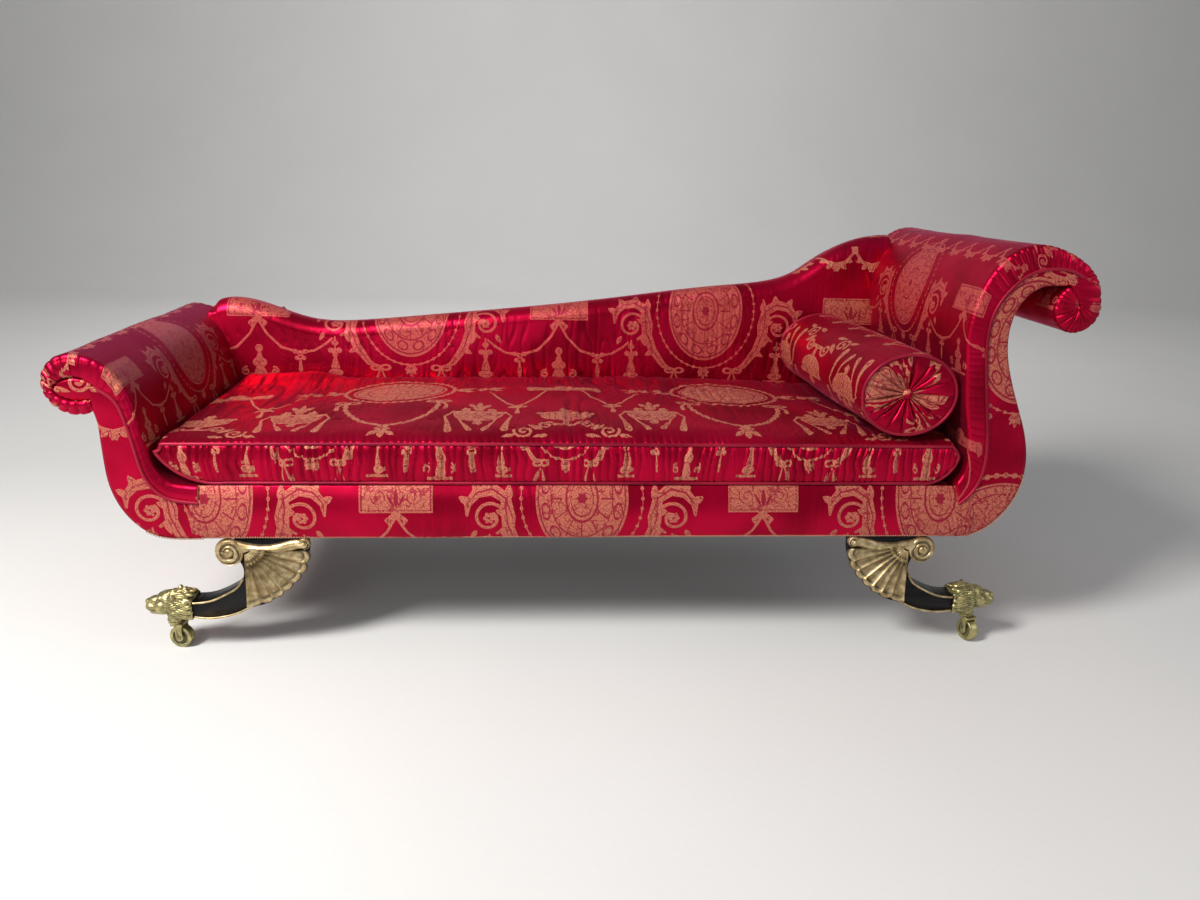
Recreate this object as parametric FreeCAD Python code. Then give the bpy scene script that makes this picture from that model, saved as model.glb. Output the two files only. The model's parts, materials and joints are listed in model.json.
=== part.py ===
"""Scroll-ended recamier: an upholstered daybed on four swept legs with lion caps and castors.

Millimetres. X runs along the seat, low end at -X and high (head) end at +X. Y runs to the back.
Z is up. The origin lies on the floor under the middle of the bounding box.
"""
import FreeCAD
import Part
import math
import os

V = FreeCAD.Vector

# Driving sizes of the whole piece
HALF_LENGTH = 1077.5
FACE_Y = 346.0
WELT_DEPTH = 6.0
BASE_Z = 270.0
DECK_Z = 386.0
GAP = 0.5

# Thicknesses, measured inwards from the front or rear face
FACING_T = 12.0
STANDARD_T = 32.0
PAD_END_Y = FACE_Y - FACING_T - 1.0
RAIL_OUT_Y = PAD_END_Y - 1.0
RAIL_IN_Y = 300.0
RAIL_BOTTOM_Z = 285.0
RAIL_TOP_Z = 360.0

# Shares of an end's thickness, from the seat side (0) to the outside (1)
PAD_SHARE = 0.42
WOOD_SHARES = (0.44, 0.80)
WOOD_ROOM = (0.425, 0.815)
OUTSIDE_SHARE = 0.84


class ScrollEnd:
    """One rolled end. Each station pairs a point of the seat-side skin with one of the outside skin."""

    def __init__(self, name, side, stations, welt_depths, lead_in, roll_centre, roll_radius, neck,
                 tangent_deg, core_radius, lath_stations, foot_x):
        self.name = name
        self.foot_x = foot_x
        self.side = side
        self.inner = [s[0] for s in stations]
        self.outer = [s[1] for s in stations]
        self.welt_depths = welt_depths
        self.lead_in = lead_in
        self.roll_centre = roll_centre
        self.roll_radius = roll_radius
        self.neck = neck
        self.tangent_deg = tangent_deg
        self.core_radius = core_radius
        self.lath_stations = lath_stations

    def at_share(self, share):
        """Points at one share of the thickness, station by station."""
        return [(a[0] + (b[0] - a[0]) * share, a[1] + (b[1] - a[1]) * share)
                for a, b in zip(self.inner, self.outer)]

    def at_depth(self, extra=0.0):
        """Points of the welt line, which lies at each station's own depth under the seat-side skin."""
        points = []
        for a, b, depth in zip(self.inner, self.outer, self.welt_depths):
            share = (depth + extra) / math.dist(a, b)
            points.append((a[0] + (b[0] - a[0]) * share, a[1] + (b[1] - a[1]) * share))
        return points

    def on_roll(self, degrees, radius=None):
        """A point of the roll's circle. 0 degrees points outwards along the seat, 90 up."""
        radius = radius or self.roll_radius
        angle = math.radians(degrees)
        return (self.roll_centre[0] + radius * math.cos(angle),
                self.roll_centre[1] + radius * math.sin(angle))

    def skin_edges(self, y):
        """Seat-side skin from the seat to the roll, then round the roll to the outside skin."""
        start = self.on_roll(self.tangent_deg)
        end = self.outer[-1]
        end_deg = math.degrees(math.atan2(end[1] - self.roll_centre[1], end[0] - self.roll_centre[0]))
        while end_deg > self.tangent_deg:
            end_deg -= 360.0
        half = (self.tangent_deg + end_deg) / 2
        return [self.spline(self.inner + self.lead_in + [start], y),
                self.arc(start, self.on_roll((self.tangent_deg + half) / 2), self.on_roll(half), y),
                self.arc(self.on_roll(half), self.on_roll((half + end_deg) / 2), end, y)]

    def point(self, p, y):
        return V(self.side * p[0], y, p[1])

    def spline(self, points, y):
        curve = Part.BSplineCurve()
        curve.interpolate([self.point(p, y) for p in points])
        return curve.toShape()

    def arc(self, a, b, c, y):
        return Part.Arc(self.point(a, y), self.point(b, y), self.point(c, y)).toShape()

    def line(self, a, b, y):
        return Part.makeLine(self.point(a, y), self.point(b, y))

    def prism(self, edges, y0, y1):
        face = Part.Face(Part.Wire(Part.__sortEdges__(edges)))
        return face.extrude(V(0, y1 - y0, 0))

    def band(self, points_a, points_b, y0, y1):
        """Prism between two open curves that share no point."""
        return self.prism([self.spline(points_a, y0), self.line(points_a[-1], points_b[-1], y0),
                           self.spline(points_b, y0), self.line(points_b[0], points_a[0], y0)], y0, y1)

    def polygon(self, points, y0, y1):
        closed = points + [points[0]]
        return self.prism([self.line(a, b, y0) for a, b in zip(closed, closed[1:])], y0, y1)

    def cylinder(self, radius, y0, y1):
        return Part.makeCylinder(radius, y1 - y0, self.point(self.roll_centre, y0), V(0, 1, 0))

    def core(self, shares, radius, grow, y0, y1):
        """The wooden standard's shape: curved plank, neck and round ear. grow widens the neck."""
        plank = self.band(self.at_share(shares[0]), self.at_share(shares[1]), y0, y1)
        a, b = self.at_share(shares[0])[-1], self.at_share(shares[1])[-1]
        c, d = self.neck
        middle = ((c[0] + d[0]) / 2, (c[1] + d[1]) / 2)
        c = (c[0] + grow * (1 if c[0] > middle[0] else -1), c[1])
        d = (d[0] + grow * (1 if d[0] > middle[0] else -1), d[1])
        neck = self.polygon([a, b, c, d], y0, y1)
        return plank.fuse([neck, self.cylinder(radius, y0, y1)]).removeSplitter()

    def standard(self, y0, y1):
        """Plank with its neck and ear, a square foot against the seat rail, and the dowel holes."""
        wood = self.core(WOOD_SHARES, self.core_radius, 0.0, y0, y1)
        top, bottom = self.at_share(WOOD_SHARES[0])[0], self.at_share(WOOD_SHARES[1])[0]
        foot_z = (bottom[1] + 1.0, top[1] - 1.0)
        x = self.foot_x
        foot = self.polygon([(x, foot_z[0]), (x + 20.0, foot_z[0]), (x + 20.0, foot_z[1]), (x, foot_z[1])],
                            y0, y1)
        return wood.fuse(foot).removeSplitter().cut(dowel_holes())

    def pad(self):
        """Stuffed seat-side pad with the roll, hollow where the woodwork runs, and its wrapped ends."""
        body = self.solid_between(self.at_share(PAD_SHARE), -PAD_END_Y, PAD_END_Y)
        body = body.cut(self.core(WOOD_ROOM, self.core_radius + 1.0, 1.5, -PAD_END_Y, PAD_END_Y))
        front = self.solid_between(self.at_depth(-1.0), -FACE_Y, -PAD_END_Y)
        rear = self.solid_between(self.at_depth(-1.0), PAD_END_Y, FACE_Y)
        return body.fuse([front, rear]).removeSplitter()

    def solid_between(self, back_points, y0, y1):
        """Prism from the seat-side skin and roll back to a curve under the skin."""
        edges = self.skin_edges(y0)
        edges += [self.line(self.outer[-1], back_points[-1], y0), self.spline(back_points, y0),
                  self.line(back_points[0], self.inner[0], y0)]
        return self.prism(edges, y0, y1)

    def outside_panel(self):
        return self.band(self.at_share(OUTSIDE_SHARE), self.outer, -PAD_END_Y, PAD_END_Y)

    def facing(self, y0, y1):
        return self.band(self.at_depth(0.5), self.outer, y0, y1)

    def welt(self, y0, y1):
        return self.band(self.at_depth(-2.5), self.at_depth(2.5), y0, y1)

    def laths(self):
        """Cross laths and the roll rail that tie the front standard to the rear one."""
        reach = RAIL_IN_Y - GAP
        pieces = [self.cylinder(self.core_radius - 4.0, -reach, reach)]
        middle = self.at_share(sum(WOOD_SHARES) / 2)
        for i in self.lath_stations:
            (x0, z0), (x1, z1) = middle[i - 1], middle[i + 1]
            run = math.hypot(x1 - x0, z1 - z0)
            along = ((x1 - x0) / run, (z1 - z0) / run)
            corners = [(middle[i][0] + along[0] * u - along[1] * w, middle[i][1] + along[1] * u + along[0] * w)
                       for u, w in ((-LATH_W / 2, -LATH_T / 2), (LATH_W / 2, -LATH_T / 2),
                                    (LATH_W / 2, LATH_T / 2), (-LATH_W / 2, LATH_T / 2))]
            pieces.append(self.polygon(corners, -reach, reach))
        return Part.Compound(pieces)

    def beyond(self, gap):
        """Everything outside this end's seat-side skin, moved gap towards the seat: a cutter."""
        shifted = [(x - gap, z) for x, z in self.inner + self.lead_in[:1]]
        far = HALF_LENGTH + 200.0
        foot = (self.outer[0][0] - gap, self.outer[0][1] - 50.0)
        edges = [self.spline(shifted, -500.0),
                 self.line(shifted[-1], (far, shifted[-1][1]), -500.0),
                 self.line((far, shifted[-1][1]), (far, foot[1]), -500.0),
                 self.line((far, foot[1]), foot, -500.0),
                 self.line(foot, (self.outer[0][0] - gap, self.outer[0][1]), -500.0),
                 self.line((self.outer[0][0] - gap, self.outer[0][1]), shifted[0], -500.0)]
        return self.prism(edges, -500.0, 500.0)


LATH_W = 34.0
LATH_T = 14.0

LOW_END = ScrollEnd(
    "left", -1,
    stations=[((800, 387), (800, 270)), ((826, 389.5), (849, 270)), ((852, 396), (894, 277)),
              ((880, 425), (950, 325)),
              ((890, 465), (976, 395)), ((897, 505), (979, 450)), ((905, 550), (979, 498)),
              ((919, 597), (980, 527)), ((950, 641), (984.5, 549.3))],
    welt_depths=[36, 35, 34, 30, 26, 24, 25, 32, 50],
    lead_in=[(975, 656)],
    roll_centre=(1015.5, 603.0), roll_radius=62.0, neck=((1006, 578), (1004, 628)),
    tangent_deg=100.0, core_radius=27.0, lath_stations=(3, 5, 7), foot_x=800.0)

HIGH_END = ScrollEnd(
    "right", 1,
    stations=[((826, 396), (846, 270)), ((833, 407), (883, 278)), ((838, 420), (921, 303)),
              ((841, 455), (968, 385)),
              ((835, 500), (971, 460)), ((822, 560), (942, 550)), ((808, 640), (905, 638)),
              ((800, 710), (888, 705)), ((807, 785), (889, 752)), ((842, 862), (904, 791)),
              ((895, 901), (930, 816)), ((950, 904), (962, 825)), ((1003, 884), (988, 825)),
              ((1042, 858), (1000.25, 825.6))],
    welt_depths=[49, 47, 45, 42, 43, 43, 42, 41, 42, 54, 55, 46, 30, 26],
    lead_in=[(1066, 828)],
    roll_centre=(1026.0, 781.0), roll_radius=51.5, neck=((1008, 790), (1046, 790)),
    tangent_deg=15.0, core_radius=23.0, lath_stations=(3, 5, 7, 9, 11), foot_x=830.5)

# Top line of the back, from the low hump to the rise at the head end
BACK_TOP = [(-974, 664), (-958, 671), (-925, 685), (-890, 688), (-838, 679), (-777, 658), (-716, 638),
            (-654, 629), (-587, 630), (-414, 645), (-145, 671), (126, 703), (398, 738), (525, 753),
            (565, 763), (616, 787), (667, 822), (720, 852), (773, 871), (827, 880), (890, 881)]
BACK_FRONT_Y = 232.0
BACK_TIMBER_Y = (305.0, 332.0)
BACK_ROLL = 36.0
UPRIGHT_X = (-777.5, -390.0, 0.0, 390.0, 777.5)
UPRIGHT_W = 41.0


def back_top_z(x):
    """Height of the back's top line at x, straight between its points."""
    for (x0, z0), (x1, z1) in zip(BACK_TOP, BACK_TOP[1:]):
        if x0 <= x <= x1:
            return z0 + (z1 - z0) * (x - x0) / (x1 - x0)
    raise ValueError(x)


def box(x0, x1, y0, y1, z0, z1):
    return Part.makeBox(x1 - x0, y1 - y0, z1 - z0, V(x0, y0, z0))


def fit_between_ends(shape, gap=1.0):
    return shape.cut([LOW_END.beyond(gap), HIGH_END.beyond(gap)])


def top_line_prism(drop, foot_z, y0, y1):
    """Prism under the back's top line, lowered by drop, down to foot_z."""
    curve = Part.BSplineCurve()
    curve.interpolate([V(x, y0, z - drop) for x, z in BACK_TOP])
    a, b = BACK_TOP[0], BACK_TOP[-1]
    edges = [curve.toShape(), Part.makeLine(V(b[0], y0, b[1] - drop), V(b[0], y0, foot_z)),
             Part.makeLine(V(b[0], y0, foot_z), V(a[0], y0, foot_z)),
             Part.makeLine(V(a[0], y0, foot_z), V(a[0], y0, a[1] - drop))]
    return Part.Face(Part.Wire(edges)).extrude(V(0, y1 - y0, 0))


def back_pad():
    """Stuffed inside back: a loft of leaning sections with a rolled top, fitted between the ends."""
    sections = []
    front, rear, stuffing_rear = BACK_FRONT_Y, PAD_END_Y, BACK_TIMBER_Y[0] - 1.0
    foot = DECK_Z + 2.6
    for x, top in BACK_TOP:
        lean = 14.0
        shoulder = V(x, front + lean, top - BACK_ROLL)
        crest = V(x, front + 56.0, top)
        fall = V(x, rear, top - 24.0)
        lip = V(x, rear, top - BACK_ROLL)
        hollow = V(x, stuffing_rear, top - BACK_ROLL)
        heel = V(x, stuffing_rear, foot)
        toe = V(x, front, foot)
        belly = V(x, front - 2.0, (foot + top) / 2 - 20.0)
        rise = V(x, front + 27.0, top - 8.0)
        ease = V(x, front + 84.0, top - 8.0)
        sections.append(Part.Wire([Part.Arc(toe, belly, shoulder).toShape(),
                                   Part.Arc(shoulder, rise, crest).toShape(),
                                   Part.Arc(crest, ease, fall).toShape(),
                                   Part.makeLine(fall, lip), Part.makeLine(lip, hollow),
                                   Part.makeLine(hollow, heel), Part.makeLine(heel, toe)]))
    return fit_between_ends(Part.makeLoft(sections, True, True))


def back_timbers():
    """Top rail, uprights and tacking rail of the back frame, between pad and outside cover."""
    y0, y1 = BACK_TIMBER_Y
    rail_drop, rail_depth = BACK_ROLL + 2.0, 42.0
    curve_top = top_line_prism(rail_drop, 400.0, y0, y1)
    top_rail = curve_top.cut(top_line_prism(rail_drop + rail_depth, 300.0, y0 - 1, y1 + 1))
    top_rail = fit_between_ends(top_rail, 3.0)
    tack_z0, tack_z1 = 396.0, 430.0
    tack = fit_between_ends(box(-1000, 1000, y0, y1, tack_z0, tack_z1), 3.0)
    uprights = []
    half = UPRIGHT_W / 2
    for x in UPRIGHT_X:
        below = box(x - half, x + half, y0, y1, RAIL_TOP_Z + GAP, tack_z0 - GAP)
        head = min(back_top_z(x - half), back_top_z(x + half)) - rail_drop - rail_depth - 3.0
        uprights += [below, box(x - half, x + half, y0, y1, tack_z1 + GAP, head)]
    return top_rail, tack, Part.Compound(uprights)


def outside_back():
    panel = top_line_prism(10.0, BASE_Z, FACE_Y - FACING_T, FACE_Y)
    return fit_between_ends(panel)


# Seat frame, suspension and covers
SEAT_X0, SEAT_X1 = -799.5, 830.0
COVER_X1 = 880.0
PLATFORM_X1 = 822.0
WEB_W = 50.0
WEB_PITCH = 97.5
LEG_X = (640.0, 730.0)
BOLT_R = 4.0
BOLT_HEAD_R = 8.0
BOLT_HEAD_H = 5.0
BOLT_TIP_Z = 228.0
BOLT_Y = (RAIL_IN_Y + RAIL_OUT_Y) / 2
DOWEL_R = 4.0
DOWEL_REACH = 14.0
DOWEL_Z = (307.0, 325.0)


def bolt_places(mid_x):
    return [(mid_x + sx * x, sy * BOLT_Y) for sx in (-1, 1) for sy in (-1, 1) for x in LEG_X]


def bolt(x, y, play=0.0):
    shank = Part.makeCylinder(BOLT_R + play, RAIL_TOP_Z - BOLT_TIP_Z, V(x, y, BOLT_TIP_Z - play))
    head = Part.makeCylinder(BOLT_HEAD_R + play, BOLT_HEAD_H + play,
                             V(x, y, RAIL_TOP_Z - BOLT_HEAD_H - 1.0 - play))
    trim = Part.makeCylinder(BOLT_HEAD_R + 5, 20, V(x, y, RAIL_TOP_Z - (0.0 if play else 1.0)))
    return shank.fuse(head).cut(trim)


def bolt_holes(mid_x):
    return [bolt(x, y, 0.3) for x, y in bolt_places(mid_x)]


def dowels(play=0.0):
    """Pegs that join both ends of the long rails to the wooden standards."""
    pegs = []
    for end_x, way in ((SEAT_X0 - GAP / 2, -1), (SEAT_X1 + GAP / 2, 1)):
        for y in (-BOLT_Y, BOLT_Y):
            for z in DOWEL_Z:
                start = V(end_x - DOWEL_REACH - play, y, z)
                pegs.append(Part.makeCylinder(DOWEL_R + play, 2 * (DOWEL_REACH + play), start, V(1, 0, 0)))
    return pegs


def dowel_holes():
    return dowels(0.2)


def side_rail(side):
    """Front (-1) or rear (+1) seat rail with its counterbored bolt holes."""
    y0, y1 = sorted((side * RAIL_IN_Y, side * RAIL_OUT_Y))
    rail = box(SEAT_X0, SEAT_X1, y0, y1, RAIL_BOTTOM_Z, RAIL_TOP_Z)
    return rail.cut(bolt_holes(LEG_MID_X) + dowel_holes())


def seat_cross_rails():
    """End rails and the two curved-top stretchers that keep the long rails apart."""
    reach = RAIL_IN_Y - GAP
    left = box(SEAT_X0, SEAT_X0 + 32, -reach, reach, RAIL_BOTTOM_Z, RAIL_TOP_Z)
    right = box(SEAT_X1 - 32, SEAT_X1, -reach, reach, RAIL_BOTTOM_Z, RAIL_TOP_Z)
    stretchers = []
    for x in (-270.0, 270.0):
        bar = box(x - 20, x + 20, -reach, reach, RAIL_BOTTOM_Z, RAIL_TOP_Z)
        dip = Part.makeCylinder(900, 60, V(x - 30, 0, RAIL_TOP_Z - 22 + 900), V(1, 0, 0))
        stretchers.append(bar.cut(dip))
    return left, right, Part.Compound(stretchers)


def corner_blocks():
    """Glue blocks in the four inner corners of the seat frame."""
    blocks = []
    for x, sx in ((SEAT_X0 + 32.5, 1), (SEAT_X1 - 32.5, -1)):
        for sy in (-1, 1):
            y = sy * (RAIL_IN_Y - GAP)
            points = [V(x, y, 292), V(x + sx * 70, y, 292), V(x, y - sy * 70, 292), V(x, y, 292)]
            blocks.append(Part.Face(Part.makePolygon(points)).extrude(V(0, 0, 56)))
    return Part.Compound(blocks)


def webbing():
    """Linen webbing: short straps over the long rails, and long straps laid over them."""
    z = RAIL_TOP_Z + GAP
    thick = 2.0
    half = WEB_W / 2
    short = [box(x - half, x + half, -326, 326, z, z + thick)
             for x in ((i + 0.5) * WEB_PITCH for i in range(-8, 8))]
    long_z = z + thick + GAP
    lengthways = [box(SEAT_X0 + 4, SEAT_X1 - 4, y - half, y + half, long_z, long_z + thick)
                  for y in (-228, -152, -76, 0, 76, 152, 228)]
    return Part.Compound(short), Part.Compound(lengthways)


def rail_cover():
    """Padded cover of the front seat rail, a bulging roll from end to end."""
    back_y = -PAD_END_Y
    foot_y = -FACE_Y + 4.0
    a, b = V(SEAT_X0, back_y, BASE_Z), V(SEAT_X0, foot_y, BASE_Z)
    c, d = V(SEAT_X0, -FACE_Y, BASE_Z + 60.0), V(SEAT_X0, foot_y, DECK_Z - 14.0)
    e = V(SEAT_X0, back_y, DECK_Z)
    wire = Part.Wire([Part.makeLine(a, b), Part.Arc(b, c, d).toShape(),
                      Part.Arc(d, V(SEAT_X0, foot_y + 5.0, DECK_Z - 4.0), e).toShape(), Part.makeLine(e, a)])
    roll = Part.Face(wire).extrude(V(COVER_X1 - SEAT_X0, 0, 0))
    return fit_between_ends(roll)


def seat_platform():
    """Hair-stuffed platform under the loose cushion."""
    pad = box(SEAT_X0, PLATFORM_X1, -RAIL_OUT_Y, BACK_TIMBER_Y[0] - 2, RAIL_TOP_Z + 7.0, DECK_Z)
    return fit_between_ends(pad)


def dust_cover():
    """Black cambric under the frame, cut round the leg tops."""
    sheet = box(SEAT_X0 + 6, SEAT_X1 - 6, -RAIL_OUT_Y + 4, RAIL_OUT_Y - 4, RAIL_BOTTOM_Z - 2.0,
                RAIL_BOTTOM_Z - GAP)
    rooms = []
    for sx in (-1, 1):
        for sy in (-1, 1):
            x0, x1 = sorted((LEG_MID_X + sx * (LEG_BLOCK_X[0] - 2), LEG_MID_X + sx * (LEG_BLOCK_X[1] + 2)))
            y0, y1 = sorted((sy * (LEG_Y[0] - 2), sy * (LEG_Y[1] + 2)))
            rooms.append(box(x0, x1, y0, y1, 200, 300))
    return sheet.cut(rooms)


# Legs, carved fans, lion caps and castors: made once for +X, front, then mirrored
LEG_MID_X = 9.0
LEG_Y = (290.0, 338.0)
LEG_BLOCK_X = (600.0, 748.0)
LEG_TOP_Z = BASE_Z - 1.0
CARVING_Y = FACE_Y + WELT_DEPTH
VOLUTE = (759.0, 237.5)
VOLUTE_R = 31.0
CURL = (600.0, 258.0)
CURL_R = 12.0
FAN_EYE = (726.0, 248.0)
LEG_OUTER = [(739, 210), (737, 176), (748, 158), (775, 139), (812, 122), (853, 117)]
LEG_UNDER = [(853, 80), (825, 76), (790, 79), (757, 88), (722, 107)]
LEG_INNER = [(722, 107), (692, 114), (660, 136), (630, 163), (611, 195), (602, 232)]
LOBES = [(591, 222), (600, 196), (617, 171), (638, 149), (661, 130), (687, 115), (714, 107)]
FAN_START = (602.0, 240.0)
FAN_END = (733.0, 106.0)
VALLEY_SHARE = 0.05
PLATE_T = 6.0
RIB_T = 3.5
BAND = ((745, 262), (700, 251), (655, 243), (612, 250), (606, 240), (652, 231), (700, 240), (728, 243))
CAP_X = (853.5, 958.0)
CAP_AXIS_Z = 103.0
CASTOR_X = 902.0
CASTOR_Y = (LEG_Y[0] + LEG_Y[1]) / 2
TENON = (853.0, 867.0)
WHEEL_R = 25.0
WHEEL_W = 20.0
TRAIL = 11.5
STEM_R = 5.0
PIN_R = 3.0


def plan_spline(points, y):
    curve = Part.BSplineCurve()
    curve.interpolate([V(x, y, z) for x, z in points])
    return curve.toShape()


def front_prism(edges, depth):
    return Part.Face(Part.Wire(Part.__sortEdges__(edges))).extrude(V(0, depth, 0))


def leg():
    """Swept leg: a block under the rail that narrows into a curved foot with a tenon for the cap."""
    y = -LEG_Y[1]
    width = LEG_Y[1] - LEG_Y[0]
    x0, x1 = LEG_BLOCK_X
    edges = [Part.makeLine(V(x0, y, LEG_TOP_Z), V(x1, y, LEG_TOP_Z)),
             Part.makeLine(V(x1, y, LEG_TOP_Z), V(LEG_OUTER[0][0], y, LEG_OUTER[0][1])),
             plan_spline(LEG_OUTER, y),
             Part.makeLine(V(*[853, y, 117]), V(853, y, 80)),
             plan_spline(LEG_UNDER, y), plan_spline(LEG_INNER, y),
             Part.makeLine(V(602, y, 232), V(x0, y, LEG_TOP_Z))]
    body = front_prism(edges, width)
    step = box(x0, x1, -LEG_Y[1] + 9, -LEG_Y[0], LEG_TOP_Z - 1, RAIL_BOTTOM_Z - 0.3)
    tenon = box(TENON[0] - 1, TENON[1], -CASTOR_Y - 12, -CASTOR_Y + 12, 88, 110)
    return body.fuse([step, tenon]).removeSplitter().cut(bolt_holes(0.0))


def bead(points, inset):
    """Gilded bead that follows a curve of the leg's front face."""
    y = -LEG_Y[1] - 2.5
    moved = [(x + inset[0], z + inset[1]) for x, z in points]
    edges = [plan_spline(points, y), plan_spline(moved, y),
             Part.makeLine(V(points[0][0], y, points[0][1]), V(moved[0][0], y, moved[0][1])),
             Part.makeLine(V(points[-1][0], y, points[-1][1]), V(moved[-1][0], y, moved[-1][1]))]
    return front_prism(edges, 2.2).cut(box(CAP_X[0] - GAP, CAP_X[1], -500, 500, 0, 400))


def fan_outline():
    """Valleys and tips of the scalloped edge, as seen from the eye where the flutes meet."""
    tips = [(x, z) for x, z in LOBES]
    valleys = []
    for (x0, z0), (x1, z1) in zip(tips, tips[1:]):
        x, z = (x0 + x1) / 2, (z0 + z1) / 2
        valleys.append((x + (FAN_EYE[0] - x) * VALLEY_SHARE, z + (FAN_EYE[1] - z) * VALLEY_SHARE))
    return [FAN_START] + valleys + [FAN_END], tips


def front_wire(points, y):
    closed = list(points) + [points[0]]
    return Part.makePolygon([V(x, y, z) for x, z in closed])


def front_plate(points, y, depth):
    """Straight-sided plate that stands out of the leg's front face."""
    return Part.Face(front_wire(points, y)).extrude(V(0, -depth, 0))


def fan_carving():
    """Carved shell with its volute, inner curl and bands, and the two beads along the foot."""
    back_y = -LEG_Y[1] - 0.3
    depth = CARVING_Y + back_y
    valleys, tips = fan_outline()
    eye = V(FAN_EYE[0], back_y, FAN_EYE[1])
    edges = [Part.makeLine(eye, V(valleys[0][0], back_y, valleys[0][1]))]
    for v0, tip, v1 in zip(valleys, tips, valleys[1:]):
        edges.append(Part.Arc(V(v0[0], back_y, v0[1]), V(tip[0], back_y, tip[1]),
                              V(v1[0], back_y, v1[1])).toShape())
    edges.append(Part.makeLine(V(valleys[-1][0], back_y, valleys[-1][1]), eye))
    shell = Part.Face(Part.Wire(edges)).extrude(V(0, -PLATE_T, 0))
    pieces = []
    for v0, tip, v1 in zip(valleys, tips, valleys[1:]):
        rib = []
        for share, spread in ((0.25, 0.55), (0.97, 0.62)):
            near = [(FAN_EYE[0] + (v[0] - FAN_EYE[0]) * share, FAN_EYE[1] + (v[1] - FAN_EYE[1]) * share)
                    for v in (v0, v1)]
            mid = ((near[0][0] + near[1][0]) / 2, (near[0][1] + near[1][1]) / 2)
            rib.append([(mid[0] + (n[0] - mid[0]) * spread, mid[1] + (n[1] - mid[1]) * spread) for n in near])
        pieces.append(front_plate([rib[0][0], rib[0][1], rib[1][1], rib[1][0]], back_y, PLATE_T + RIB_T))
    pieces.append(front_plate(BAND, back_y, PLATE_T + RIB_T))
    for (x, z), radius in ((VOLUTE, VOLUTE_R), (CURL, CURL_R)):
        disc = Part.makeCylinder(radius, depth, V(x, back_y, z), V(0, -1, 0))
        groove = Part.makeCylinder(radius * 0.76, 4.0, V(x, back_y - depth + 3.0, z), V(0, -1, 0))
        middle = Part.makeCylinder(radius * 0.45, 4.0, V(x, back_y - depth + 3.0, z), V(0, -1, 0))
        pieces.append(disc.cut(groove.cut(middle)))
    shell = shell.fuse(pieces).removeSplitter()
    return Part.Compound([shell, bead(LEG_OUTER[1:], (1.5, -5.0)), bead(LEG_UNDER, (-0.5, 5.0))])


def lion_cap():
    """Cast cap over the leg's tenon: collar, mane, skull, muzzle, ears and the castor's socket."""
    y = -CASTOR_Y
    collar = box(CAP_X[0], CAP_X[0] + 12, y - 27, y + 27, 75, 121)
    mane = Part.makeCone(31, 33, 22, V(CAP_X[0] + 8, y, CAP_AXIS_Z - 4), V(1, 0, 0))
    skull = Part.makeSphere(30, V(CAP_X[0] + 46, y, CAP_AXIS_Z + 4))
    muzzle = Part.makeCone(24, 17, 42, V(CAP_X[0] + 52, y, CAP_AXIS_Z - 3), V(1, 0, 0))
    nose = Part.makeSphere(8.5, V(CAP_X[1] - 8.5, y, CAP_AXIS_Z + 6))
    chin = Part.makeSphere(10, V(CAP_X[1] - 17, y, CAP_AXIS_Z - 13))
    parts = [mane, skull, muzzle, nose, chin]
    for s in (-1, 1):
        parts.append(Part.makeSphere(8, V(CAP_X[0] + 30, y + s * 21, CAP_AXIS_Z + 25)))
        parts.append(Part.makeSphere(7, V(CAP_X[0] + 64, y + s * 12, CAP_AXIS_Z + 18)))
        parts.append(Part.makeSphere(10, V(CAP_X[0] + 86, y + s * 9, CAP_AXIS_Z - 4)))
    boss = Part.makeCylinder(15, 14, V(CASTOR_X, y, 63))
    cap = collar.fuse(parts + [boss]).cut(box(800, 1000, y - 60, y + 60, 0, 63))
    pocket = box(CAP_X[0] - 5, TENON[1] + 0.5, y - 12.4, y + 12.4, 87.6, 110.4)
    bore = Part.makeCylinder(STEM_R + 0.05, 24, V(CASTOR_X, y, 60))
    return cap.cut([pocket, bore]).removeSplitter()


def castor_horn():
    """Forked horn that swivels in the cap, with its axle pin. Trails towards -Y before it is turned."""
    y = -CASTOR_Y
    stem = Part.makeCylinder(STEM_R, 20.5, V(CASTOR_X, y, 62))
    plate = Part.makeCylinder(15, 4.5, V(CASTOR_X, y, 58))
    bridge = box(CASTOR_X - 14, CASTOR_X + 14, y - TRAIL - 10, y + 6, 53, 58.2)
    arms = []
    for s in (-1, 1):
        x0 = CASTOR_X + s * (WHEEL_W / 2 + 1.0)
        x1 = CASTOR_X + s * (WHEEL_W / 2 + 4.0)
        low, high = sorted((x0, x1))
        arm = box(low, high, y - TRAIL - 8, y - TRAIL + 8, WHEEL_R, 54)
        arms += [arm, Part.makeCylinder(8, 3.0, V(low, y - TRAIL, WHEEL_R), V(1, 0, 0))]
    half = WHEEL_W / 2 + 4.0
    pin = Part.makeCylinder(PIN_R, 2 * half + 3, V(CASTOR_X - half - 1.5, y - TRAIL, WHEEL_R), V(1, 0, 0))
    return stem.fuse([plate, bridge] + arms + [pin]).removeSplitter()


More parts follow.
